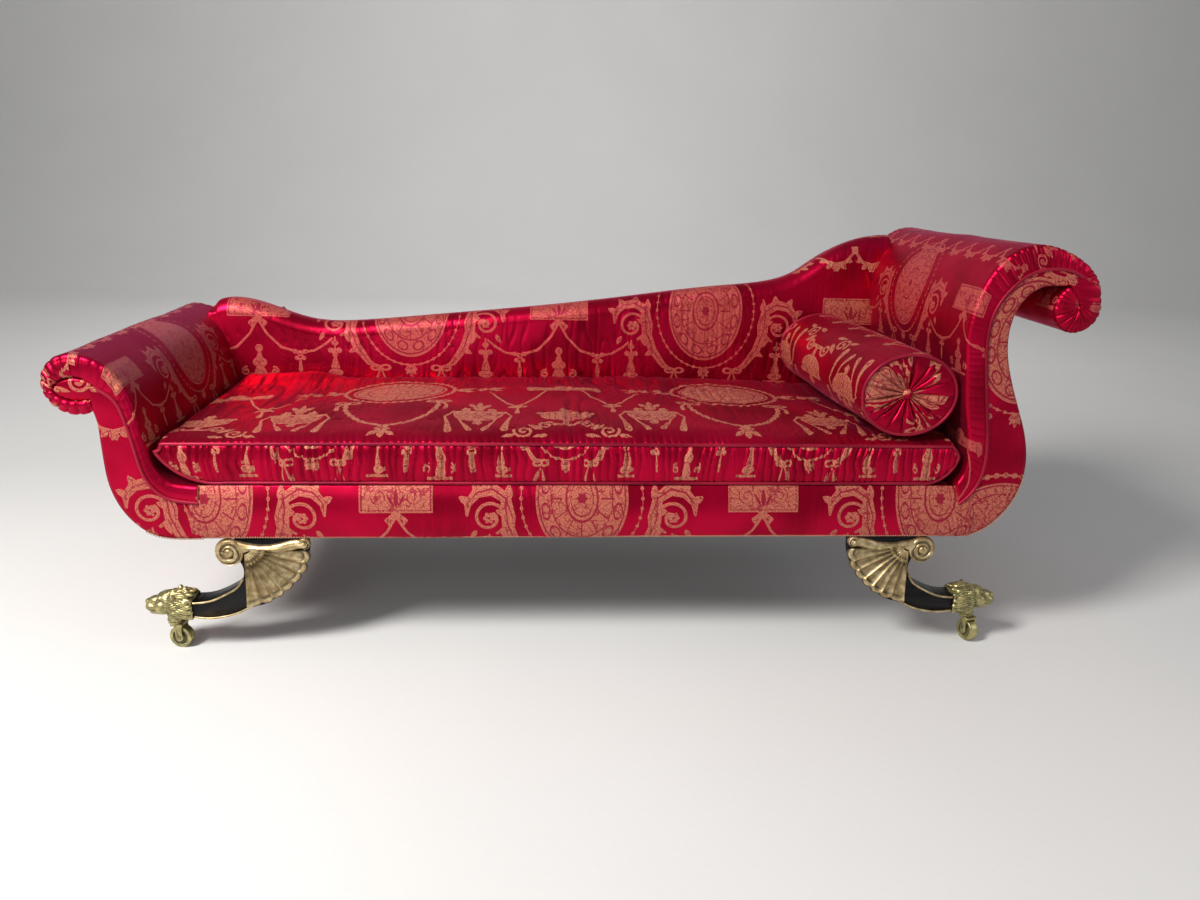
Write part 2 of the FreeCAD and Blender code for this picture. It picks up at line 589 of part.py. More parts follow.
def castor_wheel():
    """Brass wheel with a dished face each side and a running bore."""
    y = -CASTOR_Y - TRAIL
    start = V(CASTOR_X - WHEEL_W / 2, y, WHEEL_R)
    tyre = Part.makeCylinder(WHEEL_R, WHEEL_W, start, V(1, 0, 0))
    rims = [e for e in tyre.Edges if abs(e.Length - 2 * math.pi * WHEEL_R) < 0.01]
    tyre = tyre.makeFillet(2.5, rims)
    for x in (start.x - 1, start.x + WHEEL_W - 2.5):
        dish = Part.makeCylinder(17, 3.5, V(x, y, WHEEL_R), V(1, 0, 0))
        hub = Part.makeCylinder(8, 3.5, V(x, y, WHEEL_R), V(1, 0, 0))
        tyre = tyre.cut(dish.cut(hub))
    return tyre.cut(Part.makeCylinder(PIN_R + 0.05, WHEEL_W + 4, V(start.x - 2, y, WHEEL_R), V(1, 0, 0)))


CORNERS = {"front_left": (-1, 1), "front_right": (1, 1), "rear_left": (-1, -1), "rear_right": (1, -1)}
HEADINGS = {"front_left": 80.0, "front_right": 15.0, "rear_left": 140.0, "rear_right": 215.0}


def at_corner(shape, corner):
    """Mirror a front-right shape to its corner."""
    sx, sy = CORNERS[corner]
    placed = shape.copy()
    if sx < 0:
        placed = placed.mirror(V(0, 0, 0), V(1, 0, 0))
    if sy < 0:
        placed = placed.mirror(V(0, 0, 0), V(0, 1, 0))
    placed.translate(V(LEG_MID_X, 0, 0))
    return placed


def castor_at(shape, corner):
    """Move an upright castor piece to its corner and turn it to the way it stands."""
    sx, sy = CORNERS[corner]
    placed = shape.copy()
    placed.rotate(V(CASTOR_X, -CASTOR_Y, 0), V(0, 0, 1), HEADINGS[corner])
    placed.translate(V(LEG_MID_X + (sx - 1) * CASTOR_X, (1 - sy) * CASTOR_Y, 0))
    return placed


# Loose seat cushion and bolster
CUSHION_Z = DECK_Z + 3.5
CUSHION_STATIONS = [(-330, 477, 479), (-318, 482, 487), (-230, 485, 505), (-60, 486, 516),
                    (90, 485, 513), (200, 481, 498), (222, 475, 480)]
CUSHION_X = (-883.0, 820.0)
CUSHION_WELT_R = 3.5
WELT_INSET = 0.2
WELT_SUNK = 1.5
BOLSTER_AXIS = ((701.5, -322.0), (662.0, 205.0))
BOLSTER_HALF_W = 107.0
BOLSTER_HALF_H = 91.0
BOLSTER_MID_Z = 588.0


def cushion_section(y, edge_z, crown_z, inset=0.0):
    """Cross-section at y: flat under, round noses at both ends and a low crown on top."""
    foot, edge, crown = CUSHION_Z + inset, edge_z - inset, crown_z - inset
    left, right = CUSHION_X[0] + inset, CUSHION_X[1] - inset
    nose_l, nose_r = V(left, y, CUSHION_Z + 62), V(right + 8, y, CUSHION_Z + 58)
    a, b = V(left + 72, y, foot), V(right - 34, y, foot)
    top_l, top_r = V(left + 14, y, edge), V(right - 10, y, edge)
    return Part.Wire([
        Part.makeLine(a, b),
        Part.Arc(b, V(right - 2, y, foot + 22), nose_r).toShape(),
        Part.Arc(nose_r, V(right + 3, y, edge - 14), top_r).toShape(),
        Part.Arc(top_r, V((left + right) / 2, y, crown), top_l).toShape(),
        Part.Arc(top_l, V(left + 3, y, edge - 16), nose_l).toShape(),
        Part.Arc(nose_l, V(left + 24, y, foot + 19), a).toShape()])


def seat_cushion():
    return Part.makeLoft([cushion_section(*s) for s in CUSHION_STATIONS], True, True)


def cushion_welts():
    """Piping sewn round the front and the rear panel of the cushion's border."""
    loops = []
    width = 2 * CUSHION_WELT_R
    for station, way in ((CUSHION_STATIONS[0], -1), (CUSHION_STATIONS[-1], 1)):
        ring = Part.Face(cushion_section(*station, WELT_INSET))
        ring = ring.cut(Part.Face(cushion_section(*station, WELT_INSET + width)))
        ring.translate(V(0, -way * WELT_SUNK, 0))
        loops.append(ring.extrude(V(0, way * width, 0)))
    return Part.Compound(loops)


def oval(centre, half_w, half_h, y):
    """Four arcs through an oval's extremes."""
    x, z = centre
    q = math.sqrt(0.5)
    east, north = V(x + half_w, y, z), V(x, y, z + half_h)
    west, south = V(x - half_w, y, z), V(x, y, z - half_h)
    return Part.Wire([
        Part.Arc(east, V(x + half_w * q, y, z + half_h * q), north).toShape(),
        Part.Arc(north, V(x - half_w * q, y, z + half_h * q), west).toShape(),
        Part.Arc(west, V(x - half_w * q, y, z - half_h * q), south).toShape(),
        Part.Arc(south, V(x + half_w * q, y, z - half_h * q), east).toShape()])


def bolster_place(share):
    """Centre of the bolster's section at a share of its length, and its y."""
    (x0, y0), (x1, y1) = BOLSTER_AXIS
    return (x0 + (x1 - x0) * share, BOLSTER_MID_Z), y0 + (y1 - y0) * share


def bolster():
    """Stuffed roll, fullest in the middle, with a buttoned hollow in each end."""
    sections = []
    for share, size in ((0.0, 0.955), (0.05, 0.985), (0.5, 1.0), (0.95, 0.985), (1.0, 0.955)):
        centre, y = bolster_place(share)
        sections.append(oval(centre, BOLSTER_HALF_W * size, BOLSTER_HALF_H * size, y))
    roll = Part.makeLoft(sections, True, False)
    hollows = []
    for share, way in ((0.0, 1), (1.0, -1)):
        (x, z), y = bolster_place(share)
        hollows.append(Part.makeCone(80, 13, 15, V(x, y - way * 0.01, z), V(0, way, 0)))
    return roll.cut(hollows)


def bolster_buttons():
    buttons = []
    for share, way in ((0.0, 1), (1.0, -1)):
        (x, z), y = bolster_place(share)
        buttons.append(Part.makeCylinder(11, 6, V(x, y + way * 8.5, z), V(0, way, 0)))
    return Part.Compound(buttons)


def bolster_welts():
    """Piping round each end of the bolster."""
    rings = []
    for share in (0.0, 1.0):
        centre, y = bolster_place(share)
        outer = Part.Face(oval(centre, BOLSTER_HALF_W * 0.955 + 3.5, BOLSTER_HALF_H * 0.955 + 3.5, y - 3.5))
        inner = Part.Face(oval(centre, BOLSTER_HALF_W * 0.955 - 3.5, BOLSTER_HALF_H * 0.955 - 3.5, y - 4.5))
        rings.append(outer.extrude(V(0, 7, 0)).cut(inner.extrude(V(0, 9, 0))))
    return Part.Compound(rings)


def build():
    """Every node's shape by name."""
    nodes = {}
    for end in (LOW_END, HIGH_END):
        n = end.name
        inner_y, outer_y = PAD_END_Y - 1.0 - STANDARD_T, PAD_END_Y - 1.0
        nodes[f"{n}_front_standard"] = end.standard(-outer_y, -inner_y)
        nodes[f"{n}_rear_standard"] = end.standard(inner_y, outer_y)
        nodes[f"{n}_end_laths"] = end.laths()
        nodes[f"{n}_end_pad"] = end.pad()
        nodes[f"{n}_outside_panel"] = end.outside_panel()
        nodes[f"{n}_front_facing"] = end.facing(-FACE_Y, -FACE_Y + FACING_T)
        nodes[f"{n}_front_welt"] = end.welt(-FACE_Y - WELT_DEPTH, -FACE_Y - 0.3)
    nodes["rear_facings"] = Part.Compound([e.facing(FACE_Y - FACING_T, FACE_Y) for e in (LOW_END, HIGH_END)])
    nodes["rear_welts"] = Part.Compound([e.welt(FACE_Y + 0.3, FACE_Y + WELT_DEPTH)
                                         for e in (LOW_END, HIGH_END)])
    nodes["front_seat_rail"] = side_rail(-1)
    nodes["rear_seat_rail"] = side_rail(1)
    nodes["left_seat_rail"], nodes["right_seat_rail"], nodes["seat_stretchers"] = seat_cross_rails()
    nodes["corner_blocks"] = corner_blocks()
    nodes["cross_webbing"], nodes["long_webbing"] = webbing()
    nodes["front_rail_cover"] = rail_cover()
    nodes["seat_platform"] = seat_platform()
    nodes["dust_cover"] = dust_cover()
    nodes["back_top_rail"], nodes["back_tacking_rail"], nodes["back_uprights"] = back_timbers()
    nodes["back_pad"] = back_pad()
    nodes["outside_back_panel"] = outside_back()
    nodes["seat_cushion_welts"] = cushion_welts()
    nodes["seat_cushion"] = seat_cushion().cut(nodes["seat_cushion_welts"])
    nodes["bolster_welts"] = bolster_welts()
    nodes["bolster"] = bolster().cut(nodes["bolster_welts"])
    nodes["bolster_buttons"] = bolster_buttons()
    nodes["leg_bolts"] = Part.Compound([bolt(x, y) for x, y in bolt_places(LEG_MID_X)])
    nodes["frame_dowels"] = Part.Compound(dowels())
    front_right = {"leg": leg(), "leg_carving": fan_carving(), "lion_cap": lion_cap()}
    horn, wheel = castor_horn(), castor_wheel()
    for corner in CORNERS:
        for kind, shape in front_right.items():
            nodes[f"{corner}_{kind}"] = at_corner(shape, corner)
        nodes[f"{corner}_castor_horn"] = castor_at(horn, corner)
        nodes[f"{corner}_castor_wheel"] = castor_at(wheel, corner)
    return nodes


def main():
    os.makedirs("parts", exist_ok=True)
    nodes = build()
    for name, shape in nodes.items():
        box_of = shape.BoundBox
        print(f"{name:26s} solids {len(shape.Solids):2d} volume {shape.Volume / 1000:10.1f} cm3 "
              f"x {box_of.XMin:8.1f} {box_of.XMax:8.1f} y {box_of.YMin:7.1f} {box_of.YMax:7.1f} "
              f"z {box_of.ZMin:6.1f} {box_of.ZMax:6.1f} valid {shape.isValid()}")
        shape.exportStep(os.path.join("parts", name + ".step"))
    print(len(nodes), "nodes")


if __name__ == "__main__":
    main()
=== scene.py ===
"""Scroll-ended recamier: silk upholstery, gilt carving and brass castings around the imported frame.

Metres, in the frame's own axes: X along the seat (head end at +X), Y to the back, Z up.
"""
from __future__ import annotations

import json
import logging
import math
from dataclasses import dataclass, field
from enum import Enum
from typing import Callable, Sequence

import bmesh
import bpy
import numpy as np
from mathutils import Matrix, Vector

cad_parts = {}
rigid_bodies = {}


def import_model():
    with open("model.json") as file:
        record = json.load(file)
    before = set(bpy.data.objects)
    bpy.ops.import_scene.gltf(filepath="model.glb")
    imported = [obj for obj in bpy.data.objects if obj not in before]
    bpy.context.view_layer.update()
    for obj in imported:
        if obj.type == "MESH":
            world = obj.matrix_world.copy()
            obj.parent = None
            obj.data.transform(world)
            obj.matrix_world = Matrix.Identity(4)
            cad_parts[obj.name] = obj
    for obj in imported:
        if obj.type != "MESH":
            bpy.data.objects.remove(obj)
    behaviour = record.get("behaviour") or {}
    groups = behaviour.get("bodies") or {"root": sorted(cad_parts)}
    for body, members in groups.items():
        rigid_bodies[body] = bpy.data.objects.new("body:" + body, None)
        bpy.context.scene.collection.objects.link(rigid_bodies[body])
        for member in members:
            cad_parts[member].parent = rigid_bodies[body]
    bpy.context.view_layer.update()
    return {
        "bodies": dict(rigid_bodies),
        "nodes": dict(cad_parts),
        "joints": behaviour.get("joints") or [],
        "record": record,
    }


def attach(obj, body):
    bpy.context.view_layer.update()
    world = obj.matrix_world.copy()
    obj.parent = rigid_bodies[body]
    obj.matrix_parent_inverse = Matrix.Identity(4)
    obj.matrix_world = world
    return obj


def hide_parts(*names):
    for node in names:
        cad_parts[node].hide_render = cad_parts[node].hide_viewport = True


LOG = logging.getLogger("recamier")
MM = 0.001
Array = np.ndarray
Point2 = tuple[float, float]
Point3 = tuple[float, float, float]

# Sizes of the frame, repeated from the construction, in metres
FACE_Y = 0.346
FACING_T = 0.012
LEG_MID_X = 0.009
# The face's distance in millimetres
FACE = FACE_Y / MM
# Radius of the sewn cords, and how near two points of a copied node are joined, in metres
WELT_R = 0.0036
WELD_GAP = 2e-5


# Curves and noise

class Spline:
    """Natural cubic spline through points, measured by chord length."""

    def __init__(self, points: Sequence[Sequence[float]]) -> None:
        """Solve the second derivatives at the points."""
        self.points = np.array(points, float)
        self.knots = lengths(self.points)
        steps = np.linalg.norm(np.diff(self.points, axis=0), axis=1)
        count = len(self.points)
        system = np.eye(count)
        right = np.zeros_like(self.points)
        for i in range(1, count - 1):
            a, b = steps[i - 1], steps[i]
            system[i, i - 1:i + 2] = a, 2 * (a + b), b
            before, here, after = self.points[i - 1:i + 2]
            right[i] = 6 * ((after - here) / b - (here - before) / a)
        self.bend = np.linalg.solve(system, right)

    def at(self, t: Array) -> Array:
        """Points at chord distances t."""
        t = np.asarray(t, float)
        i = np.clip(np.searchsorted(self.knots, t, side="right") - 1, 0, len(self.knots) - 2)
        h = self.knots[i + 1] - self.knots[i]
        a = ((self.knots[i + 1] - t) / h)[..., None]
        b = 1 - a
        return (a * self.points[i] + b * self.points[i + 1]
                + ((a ** 3 - a) * self.bend[i] + (b ** 3 - b) * self.bend[i + 1]) * (h ** 2 / 6)[..., None])

    def at_station(self, station: Array) -> Array:
        """Points at fractional point numbers, so that matching curves can be paired."""
        return self.at(np.interp(station, np.arange(len(self.knots)), self.knots))

    def evenly(self, pitch: float) -> Array:
        """Points about one pitch apart along the curve."""
        fine = self.at(np.linspace(0, self.knots[-1], 40 * len(self.knots)))
        return resample(fine, pitch)


def lengths(points: Array) -> Array:
    """Distance along a polyline to each of its points."""
    return np.concatenate([[0.0], np.cumsum(np.linalg.norm(np.diff(points, axis=0), axis=1))])


def resample(points: Array, pitch: float) -> Array:
    """Points about one pitch apart along a polyline."""
    run = lengths(points)
    at = np.linspace(0, run[-1], max(2, int(round(run[-1] / pitch)) + 1))
    return np.stack([np.interp(at, run, points[:, k]) for k in range(points.shape[1])], axis=1)


def coords(*parts: Array | float) -> Array:
    """Coordinates side by side, spread to one shape."""
    return np.stack(np.broadcast_arrays(*parts), axis=-1)


def metres(*parts: Array | float) -> Array:
    """Coordinates side by side, from millimetres to metres."""
    return coords(*parts) * MM


def hashed(i: Array, j: Array, seed: int) -> Array:
    """Repeatable random numbers from 0 to 1 on a lattice."""
    n = (i.astype(np.int64) * 374761393 + j.astype(np.int64) * 668265263 + seed * 1442695041) & 0xFFFFFFFF
    n = ((n ^ (n >> 13)) * 1274126177) & 0xFFFFFFFF
    return ((n ^ (n >> 16)) & 0xFFFFFF) / float(0xFFFFFF)


def noise(x: Array, y: Array | float, seed: int) -> Array:
    """Smooth noise from -1 to 1, with one feature per unit."""
    x, y = np.broadcast_arrays(np.asarray(x, float), np.asarray(y, float))
    i, j = np.floor(x), np.floor(y)
    fx, fy = x - i, y - j
    fx, fy = fx * fx * (3 - 2 * fx), fy * fy * (3 - 2 * fy)
    low = hashed(i, j, seed) * (1 - fx) + hashed(i + 1, j, seed) * fx
    high = hashed(i, j + 1, seed) * (1 - fx) + hashed(i + 1, j + 1, seed) * fx
    return (low * (1 - fy) + high * fy) * 2 - 1


def smooth(x: Array, low: float, high: float) -> Array:
    """Smooth step from 0 at low to 1 at high."""
    t = np.clip((x - low) / (high - low), 0, 1)
    return t * t * (3 - 2 * t)


def pleats(run: Array, pitch: float, seed: int) -> Array:
    """Puffed folds with narrow valleys along a run, uneven in width and height, from -1 to 1."""
    run = np.asarray(run, float)
    slow, quick = noise(run / (2.3 * pitch), 0.5, seed), noise(run / (0.9 * pitch), 0.5, seed + 1)
    phase = run / pitch + 0.75 * slow + 0.25 * quick
    part = phase - np.floor(phase)
    near = np.minimum(part, (1 - part) * 1.6)
    whole = np.floor(phase)
    ahead = 0.62 + 0.38 * noise(whole * 0.73 + 0.31, 0.5, seed + 2)
    return (2 * (1 - np.exp(-(near / 0.17) ** 1.4)) - 1) * ahead


def creases(across: Array, along: Array, pitch: float, seed: int) -> Array:
    """Loose wrinkles that run along one way, in patches, from 0 to 1."""
    warp = across / pitch + 0.9 * noise(along / (9 * pitch), across / (6 * pitch), seed)
    sharp = 1 - np.abs(noise(warp, along / (7 * pitch), seed + 1)) * 2.4
    patch = smooth(noise(across / (9 * pitch), along / (11 * pitch), seed + 2), -0.45, 0.45)
    return np.clip(sharp, 0, 1) ** 1.5 * patch


# Closed shells

@dataclass
class Shell:
    """A surface as points and faces, with its cloth coordinates and fold heights by point; low folds get
    painted shade in the silk.
    """

    points: Array
    faces: list[tuple[int, ...]]
    cloth: Array | None = None
    folds: Array | None = None

    def __post_init__(self) -> None:
        """Turn the faces outwards, by the sign of the volume that they enclose."""
        if self.volume() < 0:
            self.faces = [face[::-1] for face in self.faces]

    def volume(self) -> float:
        """Signed volume enclosed by the faces."""
        total = 0.0
        by_size: dict[int, list[tuple[int, ...]]] = {}
        for face in self.faces:
            by_size.setdefault(len(face), []).append(face)
        for size, group in by_size.items():
            corners = self.points[np.array(group)]
            for k in range(1, size - 1):
                normals = np.cross(corners[:, k], corners[:, k + 1])
                total += float(np.einsum("ij,ij->", corners[:, 0], normals))
        return total / 6


def grid_faces(rows: int, cols: int, wrap: bool, start: int = 0) -> list[tuple[int, ...]]:
    """Quads of a grid of points stored row by row.

    Args:
        rows, cols: Size of the grid.
        wrap: Whether the last column joins the first.
        start: Number of the grid's first point.

    Returns:
        Corner numbers, one tuple per quad.
    """
    last = cols if wrap else cols - 1
    i, j = np.meshgrid(np.arange(rows - 1), np.arange(last), indexing="ij")
    k = (j + 1) % cols
    quads = np.stack([i * cols + j, i * cols + k, (i + 1) * cols + k, (i + 1) * cols + j], axis=-1)
    return [tuple(q) for q in (quads.reshape(-1, 4) + start).tolist()]


def tube(rings: Array, cloth: Array, folds: Array) -> Shell:
    """Closed shell through rings of equal size, with a flat cap on the first and the last.

    Args:
        rings: Points, shaped (rings, points per ring, 3).
        cloth: Cloth coordinates, shaped (rings, points per ring, 2).
        folds: Fold heights, shaped (rings, points per ring).

    Returns:
        The shell.
    """
    rows, cols = rings.shape[:2]
    faces = grid_faces(rows, cols, wrap=True)
    faces.append(tuple(range(cols))[::-1])
    faces.append(tuple(range((rows - 1) * cols, rows * cols)))
    return Shell(rings.reshape(-1, 3), faces, cloth.reshape(-1, 2), folds.reshape(-1))


def slab(front: Array, back: Array, cloth: Array | None = None, folds: Array | None = None) -> Shell:
    """Closed shell between two grids of equal size, joined round their edges."""
    rows, cols = front.shape[:2]
    size = rows * cols
    faces = grid_faces(rows, cols, wrap=False)
    faces += [face[::-1] for face in grid_faces(rows, cols, wrap=False, start=size)]
    number = np.arange(size).reshape(rows, cols)
    rim = [*number[0], *number[1:, -1], *number[-1, -2::-1], *number[-2:0:-1, 0]]
    for a, b in zip(map(int, rim), map(int, rim[1:] + rim[:1])):
        faces.append((b, a, a + size, b + size))
    double = (lambda a, width: None if a is None else np.concatenate([a.reshape(-1, width)] * 2))
    folded = double(folds, 1)
    return Shell(np.concatenate([front.reshape(-1, 3), back.reshape(-1, 3)]), faces, double(cloth, 2),
                 None if folded is None else folded[:, 0])


def ball(rows: Array, cloth: Array) -> Shell:
    """Closed shell from rings that shrink to a point at both ends: the first and last rings are poles."""
    count, cols = rows.shape[:2]
    body = rows[1:-1].reshape(-1, 3)
    points = np.concatenate([body, rows[0, :1], rows[-1, :1]])
    first, last = len(body), len(body) + 1
    faces = grid_faces(count - 2, cols, wrap=True)
    top = (count - 3) * cols
    for j in range(cols):
        k = (j + 1) % cols
        faces.append((first, k, j))
        faces.append((last, top + j, top + k))
    marks = np.concatenate([cloth[1:-1].reshape(-1, 2), cloth[0, :1], cloth[-1, :1]])
    return Shell(points, faces, marks)


# The woven pattern, in millimetres of cloth: signed distances, positive inside the gold

FAR = 12.0
OUTSIDE = -1000.0


def oval(u: Array, v: Array, rx: float, ry: float) -> Array:
    """Inside an ellipse."""
    return min(rx, ry) * (1 - np.hypot(u / rx, v / ry))


def slot_box(u: Array, v: Array, half_u: float, half_v: float) -> Array:
    """Inside a rectangle."""
    return np.minimum(half_u - np.abs(u), half_v - np.abs(v))


def stroke(u: Array, v: Array, path: Sequence[Point2], radii: Sequence[float]) -> Array:
    """Inside a brush stroke that swells and thins from point to point."""
    best = np.full(u.shape, OUTSIDE)
    for (a, b), (ra, rb) in zip(zip(path, path[1:]), zip(radii, radii[1:])):
        du, dv = b[0] - a[0], b[1] - a[1]
        t = np.clip(((u - a[0]) * du + (v - a[1]) * dv) / (du * du + dv * dv), 0, 1)
        best = np.maximum(best, ra + (rb - ra) * t - np.hypot(u - a[0] - t * du, v - a[1] - t * dv))
    return best


def leaf(u: Array, v: Array, foot: Point2, tip: Point2, width: float) -> Array:
    """Inside a pointed leaf from foot to tip."""
    du, dv = tip[0] - foot[0], tip[1] - foot[1]
    size = math.hypot(du, dv)
    t = ((u - foot[0]) * du + (v - foot[1]) * dv) / size ** 2
    side = ((v - foot[1]) * du - (u - foot[0]) * dv) / size
    half = width * np.sin(math.pi * np.clip(t, 0, 1) ** 0.8)
    return np.where((t > 0) & (t < 1), half - np.abs(side), -np.hypot(side, np.maximum(-t, t - 1) * size))


def leaves(u: Array, v: Array, ends: Sequence[tuple[Point2, Point2]], width: float) -> Array:
    """Inside any of several leaves of one width."""
    return union(*(leaf(u, v, foot, tip, width) for foot, tip in ends))


def petals(u: Array, v: Array, radius: float, count: int) -> Array:
    """Inside a round flower."""
    return radius * (0.66 + 0.34 * np.abs(np.cos(np.arctan2(v, u) * count / 2))) - np.hypot(u, v)


def bead_ring(u: Array, v: Array, rx: float, ry: float, count: int, radius: float) -> Array:
    """Inside beads set evenly round an ellipse."""
    step = 2 * math.pi / count
    angle = np.round(np.arctan2(v / ry, u / rx) / step) * step
    return radius - np.hypot(u - rx * np.cos(angle), v - ry * np.sin(angle))


def spiral(u: Array, v: Array, inner: float, outer: float, turns: float, start: float, half: float) -> Array:
    """Inside a spiral line that leaves the inner radius at angle start."""
    pitch = (outer - inner) / turns
    angle = (np.arctan2(v, u) - start) / (2 * math.pi)
    turn = np.clip(angle + np.round((np.hypot(u, v) - inner) / pitch - angle), 0, turns)
    radius, at = inner + pitch * turn, turn * 2 * math.pi + start
    return half - np.hypot(u - radius * np.cos(at), v - radius * np.sin(at))


def hairline(distance: Array, half: float) -> Array:
    """Inside a thin line that runs where a distance is nought."""
    return half - np.abs(distance)


def lattice(u: Array, v: Array, rate: float, rise: float, half: float) -> Array:
    """Inside thin lines that cross at right angles."""
    return union(hairline(rise * np.sin((u + v) * rate), half), hairline(rise * np.sin((u - v) * rate), half))


def only(here: Array, shape: Array) -> Array:
    """Inside a shape, on one part of the cloth alone."""
    return np.where(here, shape, OUTSIDE)


def union(*parts: Array) -> Array:
    """Inside any of the parts."""
    return np.maximum.reduce(parts)


def mirrored(shape: Callable[[Array, Array], Array], u: Array, v: Array) -> Array:
    """Inside a shape or its mirror image."""
    return np.maximum(shape(u, v), shape(-u, v))


def large_medallion(u: Array, v: Array) -> tuple[Array, Array]:
    """Tall oval with an inner ring, spokes and scallops, in a beaded ring with palmettes."""
    rx, ry = 100, 133
    edge = oval(u, v, rx, ry)
    r, a = np.hypot(u / rx, v / ry), np.arctan2(v / ry, u / rx)
    gold = union(edge, hairline(oval(u, v, 131, 154), 1.6), bead_ring(u, v, 131, 154, 46, 4.2))
    for way, foot in ((1, 158), (-1, -158)):
        for turn, size in ((0, 30), (0.55, 26), (-0.55, 26), (1.05, 20), (-1.05, 20)):
            tip = (size * math.sin(turn), foot + way * size * math.cos(turn))
            gold = union(gold, leaf(u, v, (0, foot), tip, 5.5))
    scallops = hairline(12 * (np.hypot((a * 12 / math.pi) % 2 - 1, (r - 0.80) * 7.5) - 0.62), 1.3)
    spokes = hairline(17 * r * np.sin(6 * a), 1.4)
    eye = union(hairline(oval(u, v, 34, 50), 2), hairline(oval(u, v, 24, 38), 1.3), petals(u, v, 12, 6) * 0.8)
    line = union(hairline(edge - 6.5, 1.7), eye,
                 only(r > 0.67, scallops), only((r > 0.40) & (r < 0.66), spokes),
                 hairline((r - 0.665) * rx, 1.4))
    return gold, line


def small_medallion(u: Array, v: Array) -> tuple[Array, Array]:
    """Wide oval with a trellis, in a rope ring."""
    edge, flower = oval(u, v, 112, 88), petals(u, v, 30, 8)
    gold = union(edge, bead_ring(u, v, 130, 106, 40, 6.8), hairline(oval(u, v, 130, 106), 2.6))
    spokes = hairline(6 * np.sin(np.arctan2(v, u) * 12), 1.4)
    line = union(hairline(edge - 6, 1.7), hairline(flower, 1.5), hairline(edge - 26, 1.5),
                 only((edge > 10) & (edge < 24), spokes),
                 only((edge > 28) & (flower < 0), lattice(u, v, 0.15, 6.6, 1.2)))
    return gold, line


def horn_leaf(u: Array, v: Array) -> tuple[Array, Array]:
    """Acanthus horn that curves down beside the tall medallion, with a bow at its foot."""
    path = [(156, 30), (164, -10), (160, -55), (142, -105), (112, -146), (92, -158)]
    gold = stroke(u, v, path, [3, 10, 12, 11, 8, 4])
    barbs = leaves(u, v, (((160, 0), (180, 22)), ((164, -35), (186, -24)), ((158, -70), (180, -72)),
                          ((140, -110), (164, -122))), 6.5)
    bow = mirrored(lambda x, y: hairline(oval(x - 13, y - 3, 11, 6.5), 2.6), u - 80, v + 164)
    tails = mirrored(lambda x, y: stroke(x, y, [(2, 0), (8, -16), (14, -34)], [2, 3, 5]), u - 80, v + 166)
    return union(gold, barbs, bow, tails), stroke(u, v, path, [0.5, 1.6, 1.6, 1.6, 1.0, 0.5])


def rosette_scroll(u: Array, v: Array) -> tuple[Array, Array]:
    """Flower in a spiral stem, under an arched leaf, over a small candelabrum."""
    arch = [(150, -85), (149, -40), (163, 0), (192, 19), (224, 12), (244, -10), (246, -36)]
    x, y = u - 199, v + 42
    barbs = leaves(u, v, (((160, -5), (152, 24)), ((190, 18), (188, 44)), ((222, 12), (234, 36)),
                          ((242, -8), (264, 4))), 8)
    scroll = union(spiral(x, y, 14, 40, 1.3, 2.4, 3.6), petals(x, y, 13.5, 6),
                   leaves(u, v, (((172, -70), (160, -98)), ((226, -70), (240, -94))), 6))
    stand = union(stroke(x, v, [(0, -82), (0, -190)], [2.4, 2.4]), oval(x, v + 98, 9, 7),
                  mirrored(lambda a, b: oval(a - 11, b, 8, 7), x, v + 117), oval(x, v + 128, 7, 8),
                  stroke(x, v, [(0, -136), (0, -160)], [4, 12]), oval(x, v + 176, 20, 10),
                  slot_box(x, v + 191, 31, 3.5))
    line = union(stroke(u, v, arch, [0.5, 1.3, 1.8, 2, 1.8, 1.3, 0.5]), 3.2 - np.hypot(x, y),
                 hairline(v + 166, 1.1))
    return union(stroke(u, v, arch, [3, 7, 11, 13, 11, 8, 3]), barbs, scroll, stand), line


def tablet(u: Array, v: Array) -> tuple[Array, Array]:
    """Beaded tablet with leaf scrolls, the ribbon ties under it and an urn between them."""
    x = 395 - u
    k, m = u - 290, v + 126
    plate = slot_box(x, v - 5, 77.5, 35)
    ties = mirrored(lambda a, b: stroke(a, b, [(0, -30), (20, -46), (12, -60)], [4, 4.5, 2]), x, v)
    course = [(395, -36), (374, -74), (338, -110), (290, -124), (252, -118), (222, -100), (206, -86)]
    ribbon = stroke(u, v, course, [3.5, 3.0, 3.4, 3.0, 3.0, 3.4, 2.4])
    knot = union(oval(k, m, 8, 8), mirrored(lambda a, b: oval(a - 13, b - 5, 7, 6), k, m),
                 mirrored(lambda a, b: oval(a - 9, b + 12, 6, 6), k, m),
                 stroke(k, m, [(0, -14), (0, -42)], [2.5, 6]), oval(k, m + 52, 4.5, 6))
    urn = union(oval(x, v + 112, 10, 10), stroke(x, v, [(0, -122), (0, -138)], [4, 9]),
                oval(x, v + 150, 19, 13), stroke(x, v, [(0, -162), (0, -182)], [10, 19]),
                mirrored(lambda a, b: spiral(a - 37, b, 3, 12, 1.2, 0.5, 2.8), x, v + 174),
                slot_box(x, v + 197, 43, 4))
    line = union(only(plate > 0, hairline(plate - 5.5, 1.2)), spiral(x - 36, v - 4, 4, 19, 1.5, -2.0, 1.3),
                 leaf(x, v, (0, -20), (0, 26), 6) - 1, leaf(x, v, (4, -18), (22, 14), 2.8),
                 only((plate > 0.5) & (plate < 4.5), hairline(2 * np.sin((x + v) * 0.42), 0.9)),
                 only(urn > 0, hairline(v + 160, 1.1)), 1.5 - np.hypot(x, v + 112))
    return union(plate, ties, ribbon, knot, urn), line


